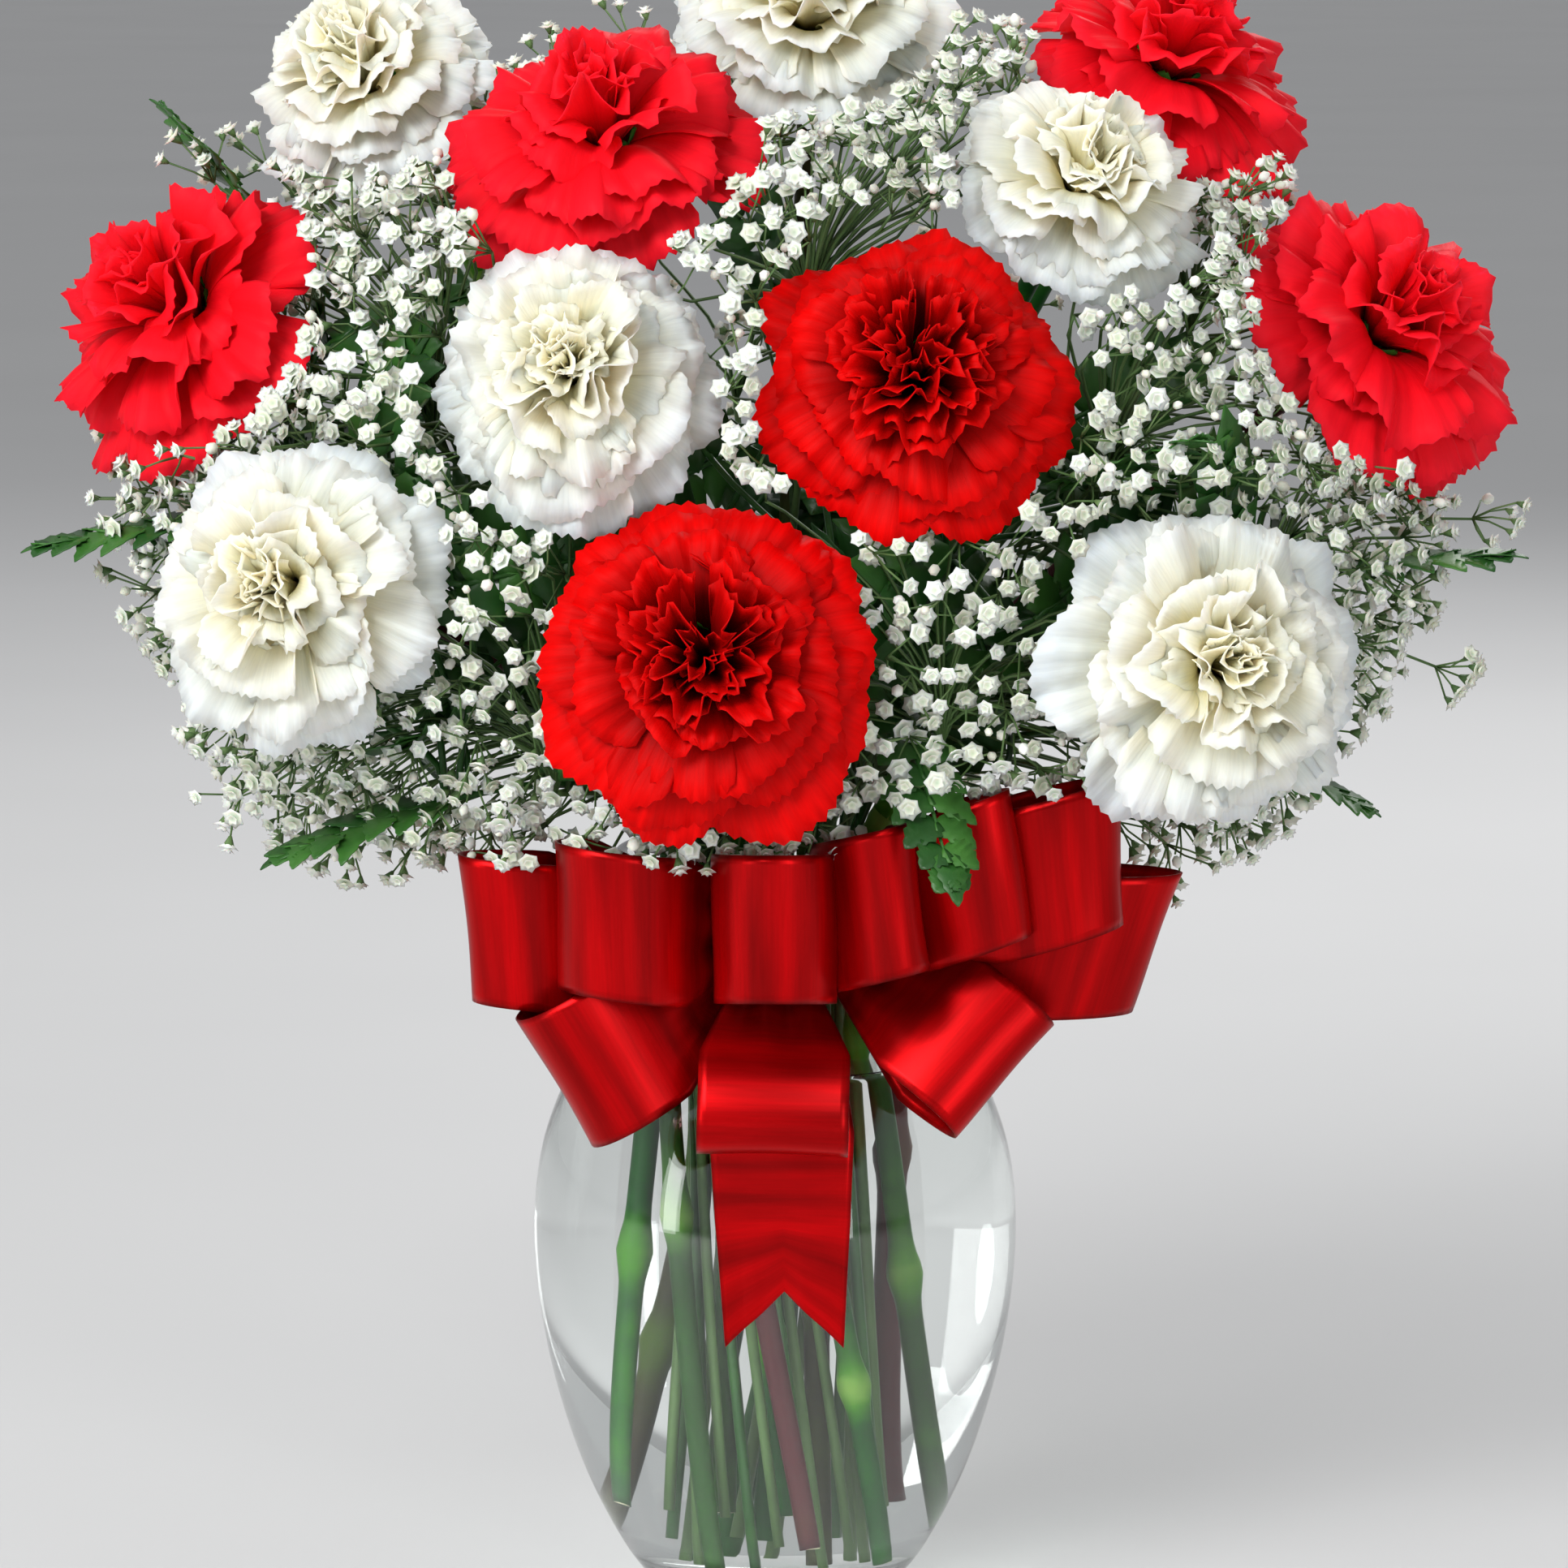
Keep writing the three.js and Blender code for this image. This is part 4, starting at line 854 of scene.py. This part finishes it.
def repeated(shape, places, axes, sizes):
    """Copies of a shape, turned to axes and drawn to sizes, as one shape."""
    points, blocks = shape
    moved = np.einsum("nk,mkj->mnj", points, axes * sizes[:, None, None]) + places[:, None]
    shifts = (np.arange(len(places)) * len(points))[:, None, None]
    blocks = [np.asarray(block) for block in blocks]
    return moved.reshape(-1, 3), [(block[None] + shifts).reshape(-1, block.shape[1]) for block in blocks]


def forks():
    """Where the baby's breath forks for the last time: places in the dome between the blooms."""
    rng = np.random.default_rng(77)
    ways = units(rng.normal(size=(FORK_TRIES, 3)))
    points = DOME_MIDDLE + DOME_SIZE * ways * rng.uniform(*FORK_DEPTH, size=(FORK_TRIES, 1))
    points = points[(points[:, 2] > DOME_FOOT) & ~in_a_bloom(points, 1) & ~in_the_bow(points)]
    kept = np.array(STRAY_FORKS, float)
    for point in points:
        spacing = FORK_SPACING[0] if point[1] < FRONT_LIMIT else FORK_SPACING[1]
        if np.min(np.linalg.norm(kept - point, axis=1)) > spacing:
            kept = np.concatenate([kept, [point]])
    return kept


def florets_round(fork, outward, taken, rng):
    """The florets on one fork: place, way that it faces, size, tone and whether it is still a bud."""
    axes = axes_of(outward)
    wanted = rng.integers(*FORK_FLORETS)
    spread = FORK_RADIUS * np.sqrt(rng.uniform(size=FLORET_TRIES))
    turn = rng.uniform(0, 2 * np.pi, FLORET_TRIES)
    places = fork + outward * rng.uniform(*FORK_RISE, size=(FLORET_TRIES, 1))
    places = places + (spread * np.cos(turn))[:, None] * axes[0] + (spread * np.sin(turn))[:, None] * axes[1]
    places = places[~in_a_bloom(places, 2.4) & ~in_the_bow(places)]
    found = []
    for place in places:
        near = np.array(taken[-FLORETS_COMPARED:])
        if len(near) and np.min(np.linalg.norm(near - place, axis=1)) < FLORET_SPACING:
            continue
        taken.append(place)
        facing = unit(0.7 * unit(place - fork) + 0.6 * outward + rng.normal(size=3) * 0.25)
        bud = rng.uniform() < BUD_SHARE
        found.append((place, facing, FLORET_RADIUS * rng.uniform(0.76, 1.14), rng.uniform(), bud))
        if len(found) == wanted:
            break
    return found


def twig_to(fork, outward, stems, nearest):
    """A twig to a fork, from the nearest stem of baby's breath that it can leave clear of the blooms."""
    for k in nearest:
        name = SPRAYS[k][0]
        above = stems[name][stems[name][:, 2] > NECK_HEIGHT + 12]
        low = above[above[:, 2] < fork[2] - 8]
        if not len(low):
            continue
        gaps = np.linalg.norm(low - fork, axis=1)
        for base in low[np.argsort(gaps)[:16:5]]:
            reach = np.linalg.norm(fork - base)
            twig = bezier((base, base + UP * reach * 0.45, fork - outward * reach * 0.3, fork), 5)
            if not among_petals(twig, 0.5).any() and not hides_a_bloom(twig[2:]).any():
                return name, twig
    return None, None


def sprays():
    rng = np.random.default_rng(78)
    stems = {name: smooth_line(thin_stem("gypsophila_" + name), 6) for name, _ in SPRAYS}
    middles = np.array([at for _, at in SPRAYS], float)
    piles = {name: Pile() for name, _ in SPRAYS}
    florets = {name: [] for name, _ in SPRAYS}
    for name, line in stems.items():
        piles[name].add(tube(line, np.linspace(1.1, 0.8, len(line)), 7), kind=1, tone=0.4)
    taken = []
    places = forks()
    for fork in places[np.lexsort((places[:, 0], np.round(places[:, 2] / 30)))]:
        outward = unit((fork - DOME_MIDDLE) / DOME_SIZE**2)
        name, twig = twig_to(fork, outward, stems, np.argsort(np.linalg.norm(middles - fork, axis=1))[:5])
        found = florets_round(fork, outward, taken, rng) if name else []
        if not found:
            continue
        piles[name].add(tube(twig, np.linspace(0.6, 0.4, 6), 3), kind=1, tone=rng.uniform(0.2, 0.8))
        for place, facing, size, _, _ in found:
            foot = place - facing * size * 0.7
            stalk = bezier((fork, fork + outward * 3, foot - facing * 4, foot), 2)
            piles[name].add(tube(stalk, [0.32, 0.26, 0.28], 3), kind=1, tone=rng.uniform(0.3, 1))
        florets[name].extend(found)
    for name, pile in piles.items():
        for buds in (False, True):
            add_florets(pile, [floret for floret in florets[name] if floret[4] == buds], buds, rng)
        sprig = pile.piece("sprig_" + name, [FLORET_WHITE, TWIG_GREEN])
        placed(sprig, "gypsophila", "gypsophila_" + name)


def add_florets(pile, florets, buds, rng):
    """Open florets or buds, each on its small green cup."""
    places, facings, sizes, tones, _ = (np.array(values) for values in zip(*florets))
    axes = []
    for facing in facings:
        turn = rng.uniform(0, 2 * np.pi)
        a, b, c = axes_of(facing)
        axes.append([a * math.cos(turn) + b * math.sin(turn), b * math.cos(turn) - a * math.sin(turn), c])
    axes = np.array(axes)
    for shape, along in [(BUD, 0.8)] if buds else [OUTER_STAR, INNER_STAR]:
        count = len(shape[0])
        along = np.tile(np.broadcast_to(along, count), len(places))
        pile.add(repeated(shape, places, axes, sizes), along=along, tone=np.repeat(tones, count))
    cups = repeated(CUP, places, axes, sizes * (0.6 if buds else 1))
    pile.add(cups, kind=1, tone=np.repeat(tones, len(CUP[0])))


# Fern

def leaflet(base, ahead, aside, up, length, width, rows, rng):
    """A toothed pointed leaflet: a grid of three columns, folded a little along its rib."""
    t = np.linspace(0, 1, rows + 1)
    tooth = np.where(np.arange(rows + 1) % 2, 1.0, 0.78)
    half = width / 2 * np.sin(np.pi * np.clip(0.1 + 0.9 * t**0.8, 0, 1)) ** 0.8 * tooth
    half[-1] = 0.12
    rib = base + np.outer(t * length, ahead) - np.outer(rng.uniform(0.1, 0.22) * length * t**2, up)
    sides = []
    for s in (-1, 0, 1):
        slant = np.outer(0.1 * width * abs(s) * tooth, ahead)
        sides.append(rib + s * half[:, None] * aside + slant * 0.4 + abs(s) * 0.22 * half[:, None] * up)
    return np.stack(sides, axis=1)


def fan_of_leaflets(pile, start, forward, up, length, width, pairs, rows, rng):
    """A leaf of fern: its midrib, and toothed leaflets in pairs that grow shorter to the tip."""
    aside = unit(np.cross(up, forward))
    up = np.cross(forward, aside)
    along = np.linspace(0, length, 10)
    midrib = start + np.outer(along, forward) - np.outer(LEAF_DROOP * along**2, up)
    pile.add(tube(midrib, np.linspace(0.8, 0.25, 10), 5), tone=0.6)
    step = length / pairs
    for i in range(pairs):
        t = (i + 0.25) / pairs
        place = np.array([np.interp(t * length, along, midrib[:, k]) for k in range(3)])
        reach = (width / 2) * (0.62 + 1.5 * t) * (1 - t**1.4) * 1.12 + 2
        for sign in (-1, 1):
            ahead = unit(forward * (0.55 + 0.4 * t) + sign * aside + up * rng.uniform(-0.08, 0.15))
            across = unit(np.cross(up, ahead))
            grid = leaflet(place, ahead, across, up, reach * rng.uniform(0.9, 1.08), 1.25 * step, rows, rng)
            pile.add(thin(grid, LEAF_THICKNESS), tone=rng.uniform(0.1, 0.95))
    tip = leaflet(midrib[-3], forward, aside, up, 1.9 * step, 1.1 * step, rows, rng)
    pile.add(thin(tip, LEAF_THICKNESS), tone=0.6)


def side_fronds(pile, stalk, start, rng):
    """Leaves that branch off the stem of a frond and fill the bunch with green behind the florets."""
    made = 0
    for _ in range(SIDE_TRIES):
        depth = rng.uniform(*SIDE_DEPTH)
        toward = unit(unit((start - DOME_MIDDLE) / DOME_SIZE) + rng.normal(size=3) * 0.5)
        foot = DOME_MIDDLE + DOME_SIZE * toward * depth
        outward = unit(toward / DOME_SIZE)
        forward = unit(outward * 0.35 + rng.normal(size=3) * 0.6 + UP * 0.25)
        length, width = rng.uniform(30, 44), rng.uniform(20, 26)
        aside = unit(np.cross(outward, forward))
        reached = foot + np.outer((0.25, 0.55, 1.0, 0.5, 0.5), forward) * length
        reached[3:] += np.outer((-0.5, 0.5), aside) * width
        inside = np.linalg.norm((reached - DOME_MIDDLE) / DOME_SIZE, axis=1).max() < 0.95
        if not inside or reached[:, 2].min() < DOME_FOOT + 6:
            continue
        if in_a_bloom(reached, 0).any() or in_the_bow(reached).any():
            continue
        base = stalk[int(np.argmin(np.linalg.norm(stalk - foot + UP * 25, axis=1)))]
        gap = np.linalg.norm(foot - base)
        twig = bezier((base, base + UP * gap * 0.4, foot - forward * gap * 0.3, foot), 8)
        if in_a_bloom(twig[1:], 0.5).any():
            continue
        pile.add(tube(twig, np.linspace(0.9, 0.75, 9), 5), tone=0.5)
        fan_of_leaflets(pile, foot, forward, outward, length, width, 5, 5, rng)
        made += 1
        if made == SIDE_FRONDS:
            break


def frond(name, start, end, width, index):
    """A frond of fern on its stem, with smaller leaves that branch off the stem."""
    rng = np.random.default_rng(500 + index)
    start, end = np.array(start, float), np.array(end, float)
    line = thin_stem("fern_" + name)
    forward = unit(end - start)
    outward = unit(start * (1, 1, 0))
    shift = line[-1] - start if np.linalg.norm(line[-1] - start) < 24 else np.zeros(3)
    line = [p for p in line if np.linalg.norm(p - start - shift) > 5] + [start + shift]
    pile = Pile()
    drawn = smooth_line(line, 8)
    pile.add(tube(drawn, np.linspace(1.15, 0.8, len(drawn)), 7), tone=0.5)
    up = unit(UP + LEAF_LEAN * outward)
    fan_of_leaflets(pile, start + shift, forward, up, np.linalg.norm(end - start), width, 7, 10, rng)
    stalk = drawn[drawn[:, 2] > NECK_HEIGHT + 16]
    side_fronds(pile, stalk, start + shift, rng)
    placed(pile.piece("frond_" + name, [FERN_GREEN]), "fern", "fern_" + name)


# Ribbon

def pleated(line, halves, across, normals, pleats, rng):
    """A strip of ribbon along a line. Where it is narrow, its width is taken up in pleats."""
    s = np.linspace(-1, 1, RIBBON_COLUMNS + 1)[None, :]
    narrow = np.clip(1 - halves / halves.max(), 0, 1)[:, None]
    fold = narrow * 3.2 * np.sin(pleats * np.pi * s + rng.uniform(0, 6))
    soft = 0.35 * np.sin(2.2 * s + np.linspace(0, 5, len(line))[:, None] + rng.uniform(0, 6))
    across = np.broadcast_to(across, line.shape)[:, None]
    flat = line[:, None] + s[..., None] * halves[:, None, None] * across
    return flat + (fold + soft)[..., None] * normals[:, None], s


def strip_normals(line, across):
    return units(np.cross(across, units(np.gradient(line, axis=0))))


def add_strip(pile, grid, s, along, tone, thickness=RIBBON):
    """A strip of ribbon, with how far along it and across it each point is."""
    pile.add(thin(grid, thickness), along=twice(along * MM, grid), across=twice(s, grid), tone=tone)


def bow():
    """Loops and a tail, drawn one after the other as one length of ribbon."""
    rng = np.random.default_rng(9)
    pile = Pile()
    total = 0.0
    for i, (start, points, length, bulge, width_way, lean) in enumerate(LOOPS):
        ahead = unit(points)
        across = np.array(width_way, float)
        across = unit(across - ahead * across.dot(ahead))
        out = np.cross(ahead, across)
        u = np.linspace(0, 1, LOOP_POINTS)
        reach = np.sin(np.pi * u) ** 2
        swell = LOOP_SWELL * np.sin(2 * np.pi * u) * np.sin(np.pi * u)
        origin = KNOT_MIDDLE + (start[0], 0, start[1])
        line = origin + np.outer(length * reach, ahead)
        line = line + np.outer(bulge * swell + 1.2 * np.cos(np.pi * u), out)
        halves = RIBBON_WIDTH / 2 * (PINCH + (1 - PINCH) * np.minimum(1, 1.6 * reach))
        across = units(across + lean * reach[:, None] * ahead)
        grid, s = pleated(line, halves, across, strip_normals(line, across), 2.5, rng)
        steps = distances(line)
        add_strip(pile, grid, s, (total + steps)[:, None], i)
        total += steps[-1]
    line = smooth_line([at for at, _ in TAIL], 12)
    share = np.linspace(0, 1, len(TAIL))
    halves = np.interp(np.linspace(0, 1, len(line)), share, [half for _, half in TAIL])
    across = np.array((1.0, 0.0, 0.0))
    grid, s = pleated(line, halves, across, strip_normals(line, across), 2.5, rng)
    grid[..., 2] += NOTCH * (1 - np.abs(s)) * np.clip(np.linspace(-3, 1, len(line)), 0, 1)[:, None]
    length = np.linalg.norm(np.diff(line, axis=0), axis=1).sum()
    add_strip(pile, grid, s, (total + np.linspace(0, length, len(line)))[:, None], len(LOOPS))
    total += length
    loops = placed(pile.piece("bow", [SATIN]), "ribbon", "ribbon_bow")
    knot = placed(bow_knot().piece("bow_knot", [SATIN]), "ribbon", "ribbon_bow")


def bow_knot():
    """The knot: a short turn of ribbon gathered over the middle of the bow."""
    pile = Pile()
    turn = np.linspace(0, 2 * np.pi, 41)
    s = np.linspace(-1, 1, 21)[None, :]
    belly = np.sqrt(np.maximum(1 - (0.86 * s) ** 2, 0.05))
    fold = 1 + 0.05 * np.sin(9 * s + 1.3 * np.sin(turn)[:, None]) + 0.02 * np.sin(17 * s + 2 * turn[:, None])
    x = np.broadcast_to(KNOT_SIZE[0] * 0.8 * s, (41, 21))
    y = KNOT_SIZE[1] * belly * fold * np.cos(turn)[:, None]
    z = KNOT_SIZE[2] * belly * fold * np.sin(turn)[:, None]
    grid = np.stack([x, y, z], axis=-1) + KNOT_MIDDLE
    add_strip(pile, grid, s * 0.9, (turn * KNOT_SIZE[2])[:, None], 3.3)
    return pile


def band():
    """The gathered turn of ribbon round the neck."""
    pile = Pile()
    turn = np.linspace(0, 2 * np.pi, 97)[:, None]
    s = np.linspace(-1, 1, 15)[None, :]
    middle, half = (BAND_BOTTOM + BAND_TOP) / 2, (BAND_TOP - BAND_BOTTOM) / 2
    z = middle + s * half * (1 + 0.03 * np.sin(3 * turn))
    pleat = 0.55 * np.sin(8.5 * s + 0.9 * np.sin(2 * turn) + 0.5 * np.sin(5 * turn + 1))
    pleat = pleat + 0.2 * np.sin(19 * s + 2 * turn)
    r = vase_radius(z) + 1.15 + pleat * np.sqrt(np.maximum(0, 1 - s**4))
    grid = np.stack([r * np.sin(turn), -r * np.cos(turn), z], axis=-1)
    add_strip(pile, grid, s * 0.9, turn * BAND_RADIUS, 5.1, BAND_THICKNESS)
    piece = placed(pile.piece("neck_ribbon", [SATIN]), "ribbon", "ribbon_band")


# Studio

def stage():
    """The floor, the light of the room and four soft lamps."""
    corners = ((-1, -1), (1, -1), (1, 1), (-1, 1))
    points = np.array([(x * FLOOR_HALF, y * FLOOR_HALF, -0.05) for x, y in corners], float)
    pile = Pile()
    pile.add((points, [np.array([[0, 1, 2, 3]])]))
    material, tree, surface = shader("floor_pale", Roughness=0.75, Specular_IOR_Level=0.2)
    shade = ramp(tree, noise(tree, 3.0), [(0.3, (0.6, 0.6, 0.6)), (0.7, (0.62, 0.62, 0.62))])
    tree.links.new(shade, surface.inputs["Base Color"])
    pile.piece("floor", [material])
    world = bpy.data.worlds.new("studio")
    bpy.context.scene.world = world
    world.use_nodes = True
    backdrop = world.node_tree.nodes["Background"]
    backdrop.inputs["Color"].default_value = (0.93, 0.94, 0.96, 1)
    backdrop.inputs["Strength"].default_value = 0.46
    lamp("key", (-0.8, -1.4, 1.3), (0, 0, 0.25), (0.9, 0.9), 30)
    lamp("left", (-1.5, -1.2, 0.5), (0, 0, 0.2), (0.3, 1.1), 6)
    lamp("right", (1.0, -1.6, 0.5), (0, 0, 0.2), (0.3, 1.1), 7)
    lamp("back", (0.5, 1.4, 1.3), (0, 0, 0.3), (0.9, 0.9), 16)


def lamp(name, place, target, size, power):
    light = bpy.data.lights.new(name, "AREA")
    light.shape = "RECTANGLE"
    light.size, light.size_y = size
    light.energy = power
    aim(added(name, light), place, target)


def aim(obj, place, target):
    """Puts a lamp or camera at a place, looking at a target."""
    back = unit(np.subtract(place, target))
    side = unit(np.cross(UP, back))
    matrix = np.eye(4)
    matrix[:3, :3] = np.stack([side, np.cross(back, side), back], axis=1)
    matrix[:3, 3] = place
    obj.matrix_world = Matrix(matrix.tolist())


def camera():
    data = bpy.data.cameras.new("camera")
    data.lens = CAMERA_LENS
    data.sensor_width = 36
    data.clip_end = 100
    obj = added("camera", data)
    aim(obj, np.array(CAMERA_PLACE) * MM, np.array(CAMERA_TARGET) * MM)
    bpy.context.scene.camera = obj


camera()
bpy.context.scene.view_settings.view_transform = "Standard"
vase()
water()
for number, (bloom, _, _, radius, angle, ring) in enumerate(BLOOMS):
    petals(bloom, radius, number)
    stem(bloom, angle, ring, number)
sprays()
for number, (leaf, start, end, width) in enumerate(FRONDS):
    frond(leaf, start, end, width, number)
bow()
band()
stage()
